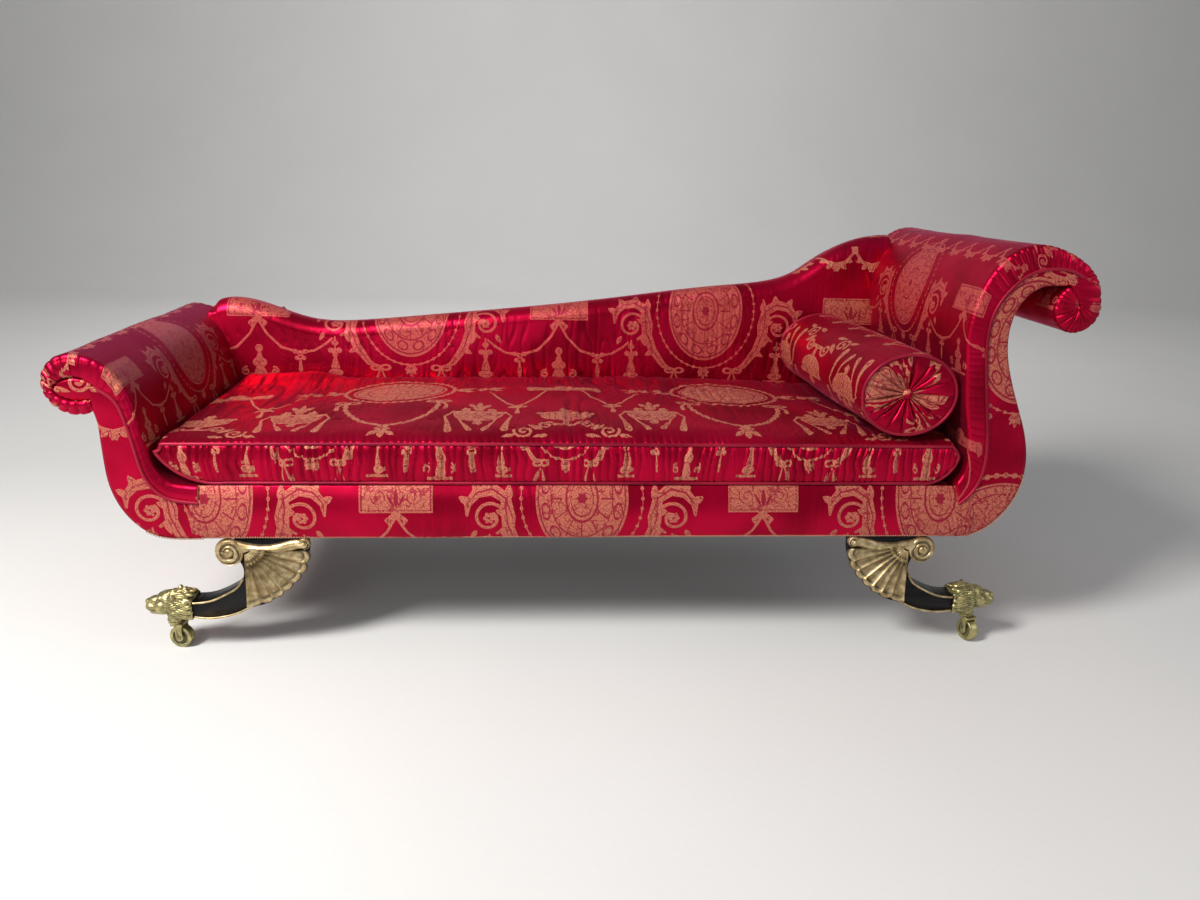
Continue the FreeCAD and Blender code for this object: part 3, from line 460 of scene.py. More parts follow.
def garland(u: Array, v: Array) -> tuple[Array, Array]:
    """Side leaves of the wide medallion, and the flower garland and pendant under it."""
    sides = union(leaf(u, v, (134, 0), (186, 14), 10), leaf(u, v, (134, -4), (182, -20), 9),
                  petals(u - 199, v, 15, 6), leaf(u, v, (212, 4), (256, 16), 9),
                  leaf(u, v, (212, -4), (250, -16), 7))
    hang = resample(Spline([(106, -104), (101, -150), (78, -196), (40, -238), (0, -256)]).evenly(2), 10.5)
    beads = union(*(oval(u - a, v - b, 7.5, 6.8) if n % 2 else oval(u - a, v - b, 5.5, 5.5)
                    for n, (a, b) in enumerate(hang.tolist())))
    bow = union(mirrored(lambda a, b: hairline(oval(a - 14, b, 12, 7), 3), u - 104, v + 106),
                stroke(u, v, [(110, -110), (124, -132), (122, -150)], [2, 4, 6]))
    pendant = union(petals(u, v + 272, 18, 6), leaf(u, v, (8, -282), (30, -302), 7), oval(u, v + 296, 8, 10),
                    oval(u, v + 314, 6, 8), oval(u, v + 328, 4.5, 6))
    return union(sides, beads, bow, pendant), 1.8 - np.hypot(u, v + 272)


def basket(u: Array, v: Array) -> tuple[Array, Array]:
    """Basket of flowers hung from ribbons with long tassels."""
    x, y = u - 200, v + 188
    body = np.minimum(oval(x, y, 56, 44), 10 - y)
    ropes = (([(58, 14), (74, -12), (66, -46), (60, -92)], [2.5, 3, 4.5, 9]),
             ([(52, 4), (34, -52), (16, -88)], [2, 3, 7]))

    def half(a: Array, b: Array) -> Array:
        """One side's flower, leaf and two tassels."""
        return union(petals(a - 29, b - 26, 12, 5), leaf(a, b, (8, 40), (26, 64), 7),
                     *(stroke(a, b, path, radii) for path, radii in ropes))
    gold = union(body, stroke(x, y, [(-58, 12), (58, 12)], [6, 6]), petals(x, y - 34, 15, 6),
                 mirrored(half, x, y), leaf(x, y, (0, 44), (0, 78), 7), petals(x, y + 54, 12, 5))
    rim = hairline(y - 4, 1.2) + OUTSIDE * (body < 0)
    return gold, np.where((body > 3) & (y < 4), lattice(x, y, 0.26, 3.8, 1.1), rim)


def tray_and_urn(u: Array, v: Array) -> tuple[Array, Array]:
    """Tray with ribbon swags, over a wide footed urn with scrolled handles."""
    x, w = 395 - u, v - 42
    k, m = u - 286, v + 134
    tray = slot_box(x, v, 78, 17)
    bowl = np.minimum(oval(x, w + 235, 58, 40), -226 - w)
    course = [(352, -18), (330, -70), (300, -118), (285, -130), (262, -112), (236, -70), (216, -22)]
    swag = union(stroke(u, v, course, [3, 3, 3.5, 3, 3.5, 3, 2]), petals(k, m, 13, 5),
                 mirrored(lambda a, b: oval(a - 16, b + 2, 7, 6), k, m),
                 stroke(k, m, [(0, -14), (0, -40)], [3, 7]))
    urn = union(bowl, stroke(x, w, [(0, -226), (60, -226)], [6, 6]), petals(x, w + 208, 15, 6),
                stroke(x, w, [(0, -265), (0, -292)], [9, 6]), slot_box(x, w + 300, 30, 5),
                spiral(x - 44, w + 300, 4, 19, 1.3, 1.2, 3.6), spiral(x - 92, v + 288, 4, 22, 1.4, -2.2, 3.6),
                leaf(x, v, (40, -300), (90, -322), 9),
                leaves(x, v, (((52, -282), (86, -256)), ((112, -300), (150, -318))), 8))
    line = union(only(tray > 0, hairline(tray - 4.5, 1.2)), 1.6 - np.hypot(k, m),
                 only(bowl > 3, hairline(4 * np.sin(x * 0.26), 1.2)))
    return union(tray, oval(x - 80, v, 11, 21), oval(x, v - 22, 22, 12), swag, urn), line


def frieze(u: Array, v: Array) -> tuple[Array, Array]:
    """Leafy swags hung between small knots, above the upper row of motifs."""
    drops, lines = [], []
    for mid in (50, 149, 248, 347):
        x = u - mid
        side = np.abs(x)
        drops += [stroke(side, v, [(0, -22), (26, -14), (49.5, 16)], [5.5, 4.5, 3]), petals(x, v + 30, 11, 6),
                  leaf(side, v, (12, -19), (28, -34), 7), leaf(side, v, (30, -10), (44, -14), 6),
                  petals(x - 49.5, v - 20, 12, 5)]
        lines += [hairline(oval(x, v + 30, 6, 6), 0.9), hairline(oval(x - 49.5, v - 20, 6, 6), 0.9)]
    return union(*drops), union(*lines)


class Lampas:
    """The silk's repeat: two rows of motifs, mirrored about each medallion and each tablet."""

    WIDTH = 0.79
    HEIGHT = 0.92
    TOP = 0.21
    LOW_ROW = -400
    # Each motif with its row's height and the window that it fills: u from, u to, v from, v to
    MOTIFS = ((frieze, 150, 0, 395, -45, 40), (large_medallion, 0, 0, 150, -200, 200),
              (horn_leaf, 0, 50, 200, -210, 40), (rosette_scroll, 0, 140, 275, -205, 55),
              (tablet, 0, 200, 395, -210, 50), (small_medallion, LOW_ROW, 0, 145, -120, 120),
              (garland, LOW_ROW, 0, 265, -345, 30), (basket, LOW_ROW, 115, 285, -300, -95),
              (tray_and_urn, LOW_ROW, 210, 395, -335, 45))

    def weave(self, cloth: Array) -> tuple[Array, Array]:
        """Distances into the gold and into the darker lines on it.

        Args:
            cloth: Cloth coordinates by point, in metres.

        Returns:
            The two distances by point, in millimetres.
        """
        half = self.WIDTH / 2
        u = np.abs((cloth[:, 0] + half) % self.WIDTH - half) / MM
        v = ((cloth[:, 1] - self.TOP) % self.HEIGHT + self.TOP - self.HEIGHT) / MM
        gold, line = np.full(len(u), -FAR), np.full(len(u), -FAR)
        for motif, row, u0, u1, v0, v1 in self.MOTIFS:
            high = v - row
            near = np.nonzero((u > u0 - FAR) & (u < u1 + FAR) & (high > v0 - FAR) & (high < v1 + FAR))[0]
            if len(near):
                inside, lines = motif(u[near], high[near])
                gold[near] = np.maximum(gold[near], inside)
                line[near] = np.maximum(line[near], lines)
        return gold, line


# Materials

class Wire:
    """A shader socket that takes part in arithmetic."""

    def __init__(self, graph: Graph, socket: bpy.types.NodeSocket) -> None:
        """Keep the socket and the graph that it belongs to."""
        self.graph, self.socket = graph, socket

    def math(self, operation: str, other: Wire | float = 0.0, flip: bool = False) -> Wire:
        """Result of one Math node on this wire and another value."""
        pair = (other, self) if flip else (self, other)
        return self.graph.node("ShaderNodeMath", {"operation": operation}, dict(enumerate(pair)))

    def __add__(self, other: Wire | float) -> Wire:
        """Sum."""
        return self.math("ADD", other)

    def __sub__(self, other: Wire | float) -> Wire:
        """Difference."""
        return self.math("SUBTRACT", other)

    def __rsub__(self, other: float) -> Wire:
        """Difference from a number."""
        return self.math("SUBTRACT", other, flip=True)

    def __mul__(self, other: Wire | float) -> Wire:
        """Product."""
        return self.math("MULTIPLY", other)

    __radd__, __rmul__ = __add__, __mul__

    def step(self, low: float, high: float) -> Wire:
        """Smooth step from 0 at low to 1 at high."""
        return self.graph.node("ShaderNodeMapRange", {"interpolation_type": "SMOOTHSTEP"},
                               {"Value": self, "From Min": low, "From Max": high})


Colour = Point3
Value = Wire | float | Sequence[float]


class Graph:
    """The nodes of one material."""

    def __init__(self, name: str) -> None:
        """Start an empty material with its output node."""
        self.material = bpy.data.materials.new(name)
        self.material.use_nodes = True
        self.tree = self.material.node_tree
        self.tree.nodes.clear()
        self.output = self.tree.nodes.new("ShaderNodeOutputMaterial")

    def node(self, kind: str, settings: dict[str, object] | None = None,
             inputs: dict[str | int, Value] | None = None, out: int | str = 0) -> Wire:
        """Add one node.

        Args:
            kind: The node's type.
            settings: Values of its properties, set first.
            inputs: Values or wires by socket name or number.
            out: The output that is wanted.

        Returns:
            That output as a wire.
        """
        made = self.tree.nodes.new(kind)
        for key, value in (settings or {}).items():
            setattr(made, key, value)
        for key, value in (inputs or {}).items():
            socket = made.inputs[key]
            if isinstance(value, Wire):
                self.tree.links.new(value.socket, socket)
            elif isinstance(value, (tuple, list)) and len(value) == 3 and socket.type == "RGBA":
                socket.default_value = (*value, 1.0)
            else:
                socket.default_value = value
        return Wire(self, made.outputs[out])

    def mix(self, factor: Value, a: Value, b: Value) -> Wire:
        """Blend of two colours."""
        return self.node("ShaderNodeMix", {"data_type": "RGBA"}, {0: factor, 6: a, 7: b}, out=2)

    def attribute(self, name: str) -> Wire:
        """A float that the mesh carries by point."""
        return self.node("ShaderNodeAttribute", {"attribute_name": name}, out="Fac")

    def cloth(self) -> Wire:
        """The piece's cloth coordinates, in metres."""
        return self.node("ShaderNodeUVMap", {"uv_map": "cloth"})

    def place(self) -> Wire:
        """Object coordinates, in metres."""
        return self.node("ShaderNodeTexCoord", out="Object")

    def scaled(self, vector: Wire, scale: Sequence[float]) -> Wire:
        """A vector with its axes stretched."""
        return self.node("ShaderNodeMapping", {"vector_type": "POINT"}, {"Vector": vector, "Scale": scale})

    def grain(self, vector: Wire, scale: float, detail: float = 3.0, rough: float = 0.55) -> Wire:
        """Noise from 0 to 1."""
        return self.node("ShaderNodeTexNoise", {"noise_dimensions": "3D"},
                         {"Vector": vector, "Scale": scale, "Detail": detail, "Roughness": rough})

    def finish(self, colour: Value, rough: Value, metal: Value, height: Wire | None, distance: float,
               **fixed: Value) -> bpy.types.Material:
        """Join a Principled shader to the output.

        Args:
            colour, rough, metal: What may vary over the surface.
            height: Relief for the bump, in units of distance.
            distance: Height of one unit of relief, in metres.
            fixed: Other sockets by name, with _ for a space, the same all over.

        Returns:
            The material.
        """
        inputs: dict[str | int, Value] = {"Base Color": colour, "Roughness": rough, "Metallic": metal}
        inputs.update({key.replace("_", " "): value for key, value in fixed.items()})
        if height is not None:
            inputs["Normal"] = self.node("ShaderNodeBump", None,
                                         {"Height": height, "Distance": distance, "Strength": 1.0})
        shader = self.node("ShaderNodeBsdfPrincipled", None, inputs)
        self.tree.links.new(shader.socket, self.output.inputs["Surface"])
        return self.material


@dataclass(frozen=True)
class SilkLampas:
    """Crimson satin with a gold pattern woven in."""

    name: str = "silk_lampas"
    ground: Colour = (0.47, 0.0010, 0.028)
    deep: Colour = (0.26, 0.000, 0.011)
    # painted sheen: the purple that the satin's gloss shows under a grazing light, painted into the colour
    painted_light_tint: Colour = (0.22, 0.001, 0.040)
    # painted shade in the valleys of pleats and creases
    painted_crease_shade: Colour = (0.060, 0.0, 0.006)
    gold: Colour = (0.40, 0.085, 0.052)
    bright: Colour = (0.62, 0.29, 0.155)
    outline: Colour = (0.26, 0.006, 0.020)
    # gold faded toward crimson by painted light, where the light shows the pattern less
    painted_light_faded_gold: Colour = (0.44, 0.026, 0.036)
    # the gold under the purple painted sheen
    gold_painted_light_tint: Colour = (0.30, 0.045, 0.065)
    # painted shade on the gold in the valleys
    gold_painted_crease_shade: Colour = (0.20, 0.03, 0.02)
    patterned: bool = True

    def build(self) -> bpy.types.Material:
        """Make the material."""
        g = Graph(self.name)
        cloth = g.cloth() if self.patterned else g.place()
        thread = g.grain(g.scaled(cloth, (900, 2600, 1)), 1.0, 2.0)
        slub = g.grain(g.scaled(cloth, (60, 9, 1)), 1.0, 3.0)
        cloud = g.grain(cloth, 5.0, 2.0)
        # fold heights by point; low values get painted shade
        fold = g.attribute("fold")
        # painted light by point: purple painted sheen above 0, gold faded toward crimson by painted light
        # below 0
        shade = g.attribute("painted_light_tint")
        painted_light_tint, painted_light_fade = shade.step(0.0, 1.0), shade.step(0.0, -1.0)
        ground = g.mix(cloud.step(0.3, 0.7), self.deep, self.ground)
        # purple painted sheen
        ground = g.mix(painted_light_tint * (0.55 + cloud * 0.6), ground, self.painted_light_tint)
        ground = g.mix(slub.step(0.45, 0.8) * 0.35, ground, self.ground)
        # painted shade in fold valleys
        ground = g.mix(fold.step(-0.05, -0.85) * 0.85, ground, self.painted_crease_shade)
        gloss = {"Sheen_Weight": 0.08, "Sheen_Roughness": 0.38, "Sheen_Tint": (1.0, 0.22, 0.50, 1.0),
                 "Specular_IOR_Level": 0.8, "Specular_Tint": (1.0, 0.20, 0.48, 1.0)}
        if not self.patterned:
            return g.finish(ground, 0.40 + thread * 0.1, 0.35, thread + slub, 0.00010, **gloss)
        wobble = (thread - 0.5) * 0.9
        mark = g.attribute("gold") + wobble
        mask = mark.step(-0.15, 0.75)
        lines = (g.attribute("line") + wobble * 0.8).step(-0.5, 0.5)
        wisp = g.grain(cloth, 62.0, 1.0, 0.4)
        drawn = (1.0 - ((wisp - 0.5) * (wisp - 0.5) * 900.0).step(0.25, 1.0)) * mark.step(1.6, 2.6) * 0.75
        lines = lines * 0.95 + drawn * (1.0 - lines)
        fleck = g.grain(g.scaled(cloth, (420, 420, 1)), 1.0, 2.0)
        weft = g.mix(fleck.step(0.35, 0.7), self.gold, self.bright)
        weft = g.mix(fleck.step(0.47, 0.37) * 0.55, weft, self.outline)
        # gold faded toward crimson, painted light
        weft = g.mix(painted_light_fade * 1.15, weft, self.painted_light_faded_gold)
        weft = g.mix(lines, weft, self.outline)
        # purple painted sheen on the gold
        weft = g.mix(painted_light_tint * 0.8, weft, self.gold_painted_light_tint)
        # painted shade on the gold in fold valleys
        weft = g.mix(fold.step(-0.1, -0.9) * 0.6, weft, self.gold_painted_crease_shade)
        colour = g.mix(mask, ground, weft)
        rough = 0.27 + mask * 0.16 + thread * 0.10
        metal = 0.76 - mask * 0.42
        height = mask * 1.6 - lines * mask * 1.1 + thread * 0.55 + slub * 0.9
        return g.finish(colour, rough, metal, height, 0.00022, **gloss)


@dataclass(frozen=True)
class Wood:
    """Timber with grain along X, from bare beech to ebonised."""

    name: str
    light: Colour
    dark: Colour
    rough: float
    coat: float = 0.0
    wear: Colour = (0.10, 0.055, 0.03)
    wear_share: float = 0.0
    specular: float = 0.5

    def build(self) -> bpy.types.Material:
        """Make the material."""
        g = Graph(self.name)
        place = g.place()
        grain = g.grain(g.scaled(place, (6, 70, 70)), 1.0, 5.0, 0.6)
        pores = g.grain(g.scaled(place, (40, 900, 900)), 1.0, 2.0)
        colour = g.mix(grain.step(0.3, 0.72), self.dark, self.light)
        worn = g.grain(place, 38.0, 4.0).step(0.62, 0.74) * self.wear_share
        colour = g.mix(worn, colour, self.wear)
        return g.finish(colour, self.rough + pores * 0.12, 0.0, grain * 0.6 + pores * 0.4, 0.00018,
                        Coat_Weight=self.coat, Coat_Roughness=0.18, Specular_IOR_Level=self.specular)


@dataclass(frozen=True)
class Metal:
    """Gilding, cast brass or steel, rubbed bright on the heights and dark in the hollows."""

    name: str
    bright: Colour
    tarnish: Colour
    hollow: Colour
    rough: float
    metallic: float
    relief: float = 0.00025

    def build(self) -> bpy.types.Material:
        """Make the material."""
        g = Graph(self.name)
        place = g.place()
        patina = g.grain(place, 70.0, 4.0)
        pits = g.grain(place, 620.0, 2.0)
        point = g.node("ShaderNodeNewGeometry", out="Pointiness")
        hollows = point.step(0.499, 0.478)
        colour = g.mix(patina.step(0.38, 0.66), self.tarnish, self.bright)
        colour = g.mix(hollows * 0.85, colour, self.hollow)
        metal = self.metallic - hollows * self.metallic * 0.6
        rough = self.rough + patina * 0.16 + hollows * 0.2
        return g.finish(colour, rough, metal, patina * 0.5 + pits * 0.6, self.relief)


@dataclass(frozen=True)
class PlainCloth:
    """Linen or cambric in a plain weave."""

    name: str
    light: Colour
    dark: Colour
    threads: float

    def build(self) -> bpy.types.Material:
        """Make the material."""
        g = Graph(self.name)
        place = g.place()
        inputs = {"Vector": place, "Scale": self.threads, "Distortion": 0.6}
        over, under = (g.node("ShaderNodeTexWave", {"wave_type": "BANDS", "bands_direction": way}, inputs,
                              out="Fac") for way in "XY")
        weave = over * under
        colour = g.mix(weave.step(0.1, 0.6) * (0.6 + g.grain(place, 30.0) * 0.6), self.dark, self.light)
        return g.finish(colour, 0.88, 0.0, weave, 0.0003)


class Finish(Enum):
    """The finishes, named as the record's material slots; the gimp shares the welts' slot."""

    SILK = SilkLampas()
    # piping: the same silk with a darker ground and deep tone, painted shade
    WELT = SilkLampas("silk_welt", ground=(0.34, 0.014, 0.030), deep=(0.16, 0.003, 0.012), patterned=False)
    GIMP = PlainCloth("silk_gimp", (0.62, 0.46, 0.30), (0.40, 0.20, 0.13), 900.0)
    BEECH = Wood("beech_frame", (0.50, 0.31, 0.16), (0.33, 0.18, 0.08), 0.55)
    EBONY = Wood("ebonised_leg", (0.004, 0.0035, 0.005), (0.0015, 0.0012, 0.002), 0.26, coat=0.03,
                 wear=(0.05, 0.03, 0.018), wear_share=0.4, specular=0.16)
    GILT = Metal("gilt_carving", (0.64, 0.52, 0.30), (0.36, 0.26, 0.12), (0.045, 0.025, 0.012), 0.32, 0.85)
    BRASS = Metal("cast_brass", (0.58, 0.50, 0.22), (0.30, 0.27, 0.13), (0.05, 0.045, 0.02), 0.30, 0.95,
                  relief=0.0003)
    STEEL = Metal("bolt_steel", (0.45, 0.44, 0.42), (0.25, 0.24, 0.23), (0.06, 0.05, 0.05), 0.35, 0.95)
    LINEN = PlainCloth("linen_webbing", (0.55, 0.47, 0.34), (0.30, 0.24, 0.16), 220.0)
    CAMBRIC = PlainCloth("black_cambric", (0.022, 0.022, 0.024), (0.006, 0.006, 0.007), 420.0)

    @property
    def slot(self) -> str:
        """Name of the record's slot."""
        return "silk_welt" if self is Finish.GIMP else self.value.name

    @property
    def material(self) -> bpy.types.Material:
        """The material, made on first use."""
        name = self.value.name + "_finish"
        if name not in bpy.data.materials:
            self.value.build().name = name
        return bpy.data.materials[name]


# Pieces

def add_piece(name: str, shells: Sequence[Shell], stands_for: Sequence[str],
              painted_light_tint: Callable[[Array], Array] | None = None, body: str = "frame",
              finish: Finish = Finish.SILK, sharp_deg: float = 180.0) -> None:
    """Make one piece from its shells, weave the pattern on it and set it on its body.

    Args:
        name: The piece's name.
        shells: Its closed surfaces.
        stands_for: The frame's nodes that it replaces.
        painted_light_tint: Painted light at each point: purple painted sheen from 0 to 1, or gold faded toward
            crimson by painted light from 0 to -1.
        body: The body that it rides on.
        finish: Its finish.
        sharp_deg: Edges sharper than this are shaded as edges.
    """
    start, faces = 0, []
    for shell in shells:
        faces += [tuple(i + start for i in face) for face in shell.faces] if start else shell.faces
        start += len(shell.points)
    points = np.concatenate([s.points for s in shells])
    mesh = bpy.data.meshes.new(name)
    mesh.from_pydata(points.tolist(), [], faces)
    if shells[0].cloth is not None:
        cloth = np.concatenate([s.cloth for s in shells])
        corners = np.zeros(len(mesh.loops), np.int32)
        mesh.loops.foreach_get("vertex_index", corners)
        mesh.uv_layers.new(name="cloth").data.foreach_set("uv", cloth[corners].astype(np.float32).ravel())
        folds = np.concatenate([np.zeros(len(s.points)) if s.folds is None else s.folds for s in shells])
        gold, line = Lampas().weave(cloth)
        # painted light by point: purple painted sheen above 0, gold faded by painted light below 0
        shade = painted_light_tint(points) if painted_light_tint else np.zeros(len(points))
        # fold carries pleat heights and marks for painted shade
        marks = {"fold": folds, "gold": gold, "line": line, "painted_light_tint": shade}
        for key, values in marks.items():
            mesh.attributes.new(key, "FLOAT", "POINT").data.foreach_set("value", values.astype(np.float32))
    mesh.shade_smooth()
    if sharp_deg < 180:
        mesh.set_sharp_from_angle(angle=math.radians(sharp_deg))
    place_piece(name, mesh, finish, body, stands_for)


def place_piece(name: str, mesh: bpy.types.Mesh, finish: Finish, body: str, stands_for: Sequence[str]) -> None:
    """Give a finished mesh its object, material, body and the nodes that it replaces."""
    piece = in_scene(name, mesh)
    mesh.materials.clear()
    mesh.materials.append(finish.material)
    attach(piece, body)
    if stands_for:
        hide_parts(*stands_for)
    LOG.info("%s: %d faces on %s", name, len(mesh.polygons), body)


def in_scene(name: str, data: bpy.types.ID) -> bpy.types.Object:
    """New object of the scene that shows the data."""
    made = bpy.data.objects.new(name, data)
    bpy.context.scene.collection.objects.link(made)
    return made


def settled(holder: bpy.types.Object) -> bpy.types.Mesh:
    """Mesh of an object with its modifiers applied, in place of the object."""
    bpy.context.view_layer.update()
    made = bpy.data.meshes.new_from_object(holder.evaluated_get(bpy.context.evaluated_depsgraph_get()))
    bpy.data.objects.remove(holder)
    return made


# What repeats or follows a path, made by Geometry Nodes

class PathMaker:
    """Node trees that set beads along a path or draw a cord along it."""

    # Nodes of every tree, and of each kind, by the name that the links use
    SHARED = {"given": "NodeGroupInput", "result": "NodeGroupOutput", "path": "GeometryNodeMeshToCurve",
              "real": "GeometryNodeRealizeInstances", "dress": "GeometryNodeSetMaterial"}
    NODES = {"beads": {"ball": "GeometryNodeMeshIcoSphere", "along": "GeometryNodeCurveToPoints",
                       "last": "GeometryNodeInstanceOnPoints"},
             "cord": {"along": "GeometryNodeResampleCurve", "round": "GeometryNodeCurvePrimitiveCircle",
                      "last": "GeometryNodeCurveToMesh"}}
    # Links: node and output, then node and input
    LINKS = {"beads": (("given", "Radius", "ball", "Radius"), ("along", "Points", "last", "Points"),
                       ("ball", "Mesh", "last", "Instance"), ("last", "Instances", "real", "Geometry")),
             "cord": (("given", "Radius", "round", "Radius"), ("along", "Curve", "last", "Curve"),
                      ("round", "Curve", "last", "Profile Curve"), ("last", "Mesh", "real", "Geometry"))}
    ENDS = (("given", "Geometry", "path", "Mesh"), ("path", "Curve", "along", "Curve"),
            ("given", "Pitch", "along", "Length"), ("real", "Geometry", "dress", "Geometry"),
            ("dress", "Geometry", "result", "Geometry"))
    FIXED = {"beads": ("ball", "Subdivisions", 2), "cord": ("round", "Resolution", 10)}

    def tree(self, kind: str, finish: Finish) -> bpy.types.NodeTree:
        """Build a tree with the inputs Geometry, Radius and Pitch.

        Args:
            kind: "beads" sets small balls along the path; "cord" draws a round cord with closed ends.
            finish: Finish of what it makes.

        Returns:
            The tree.
        """
        tree = bpy.data.node_groups.new(kind + "_" + finish.slot, "GeometryNodeTree")
        for way, name, sort in (("INPUT", "Geometry", "Geometry"), ("INPUT", "Radius", "Float"),
                                ("INPUT", "Pitch", "Float"), ("OUTPUT", "Geometry", "Geometry")):
            tree.interface.new_socket(name, in_out=way, socket_type="NodeSocket" + sort)
        nodes = {name: tree.nodes.new(sort) for name, sort in {**self.SHARED, **self.NODES[kind]}.items()}
        nodes["along"].mode = "LENGTH"
        nodes["dress"].inputs["Material"].default_value = finish.material
        node, name, value = self.FIXED[kind]
        nodes[node].inputs[name].default_value = value
        if kind == "cord":
            nodes["last"].inputs["Fill Caps"].default_value = True
        for source, out, target, into in self.LINKS[kind] + self.ENDS:
            tree.links.new(nodes[source].outputs[out], nodes[target].inputs[into])
        return tree

    def along(self, kind: str, paths: Sequence[Array], finish: Finish, radius: float, pitch: float,
              closed: bool) -> bpy.types.Mesh:
        """Run a tree on paths.

        Args:
            kind: "beads" or "cord".
            paths: Points of each path, in metres.
            finish: The finish.
            radius: Radius of a bead or the cord.
            pitch: Distance between beads, or between the cord's rings.
            closed: Whether each path joins its own start.

        Returns:
            The mesh.
        """
        name = kind + "_" + finish.slot
        points, edges = [], []
        for path in paths:
            first = len(points)
            points += path.tolist()
            edges += [(i, i + 1) for i in range(first, len(points) - 1)]
            if closed:
                edges.append((len(points) - 1, first))
        line = bpy.data.meshes.new(name)
        line.from_pydata(points, edges, [])
        holder = in_scene(name, line)
        modifier = holder.modifiers.new(name, "NODES")
        modifier.node_group = bpy.data.node_groups.get(name) or self.tree(kind, finish)
        sizes = {"Radius": radius, "Pitch": pitch}
        for item in modifier.node_group.interface.items_tree:
            if item.in_out == "INPUT" and item.name in sizes:
                modifier[item.identifier] = sizes[item.name]
        made = settled(holder)
        made.shade_smooth()
        return made

    def piece(self, name: str, kind: str, paths: Sequence[Array], finish: Finish, body: str,
              stands_for: Sequence[str] = (), radius: float = WELT_R, pitch: float = 0.004,
              closed: bool = False) -> None:
        """Make one piece along paths and set it on its body."""
        place_piece(name, self.along(kind, paths, finish, radius, pitch, closed), finish, body, stands_for)


# The rolled ends

@dataclass
class Skin:
    """Rows of an end's skin: distance along it, its point, and the point where the wrapped rim ends."""

    run: Array
    edge: Array
    rim: Array
    roll: Array


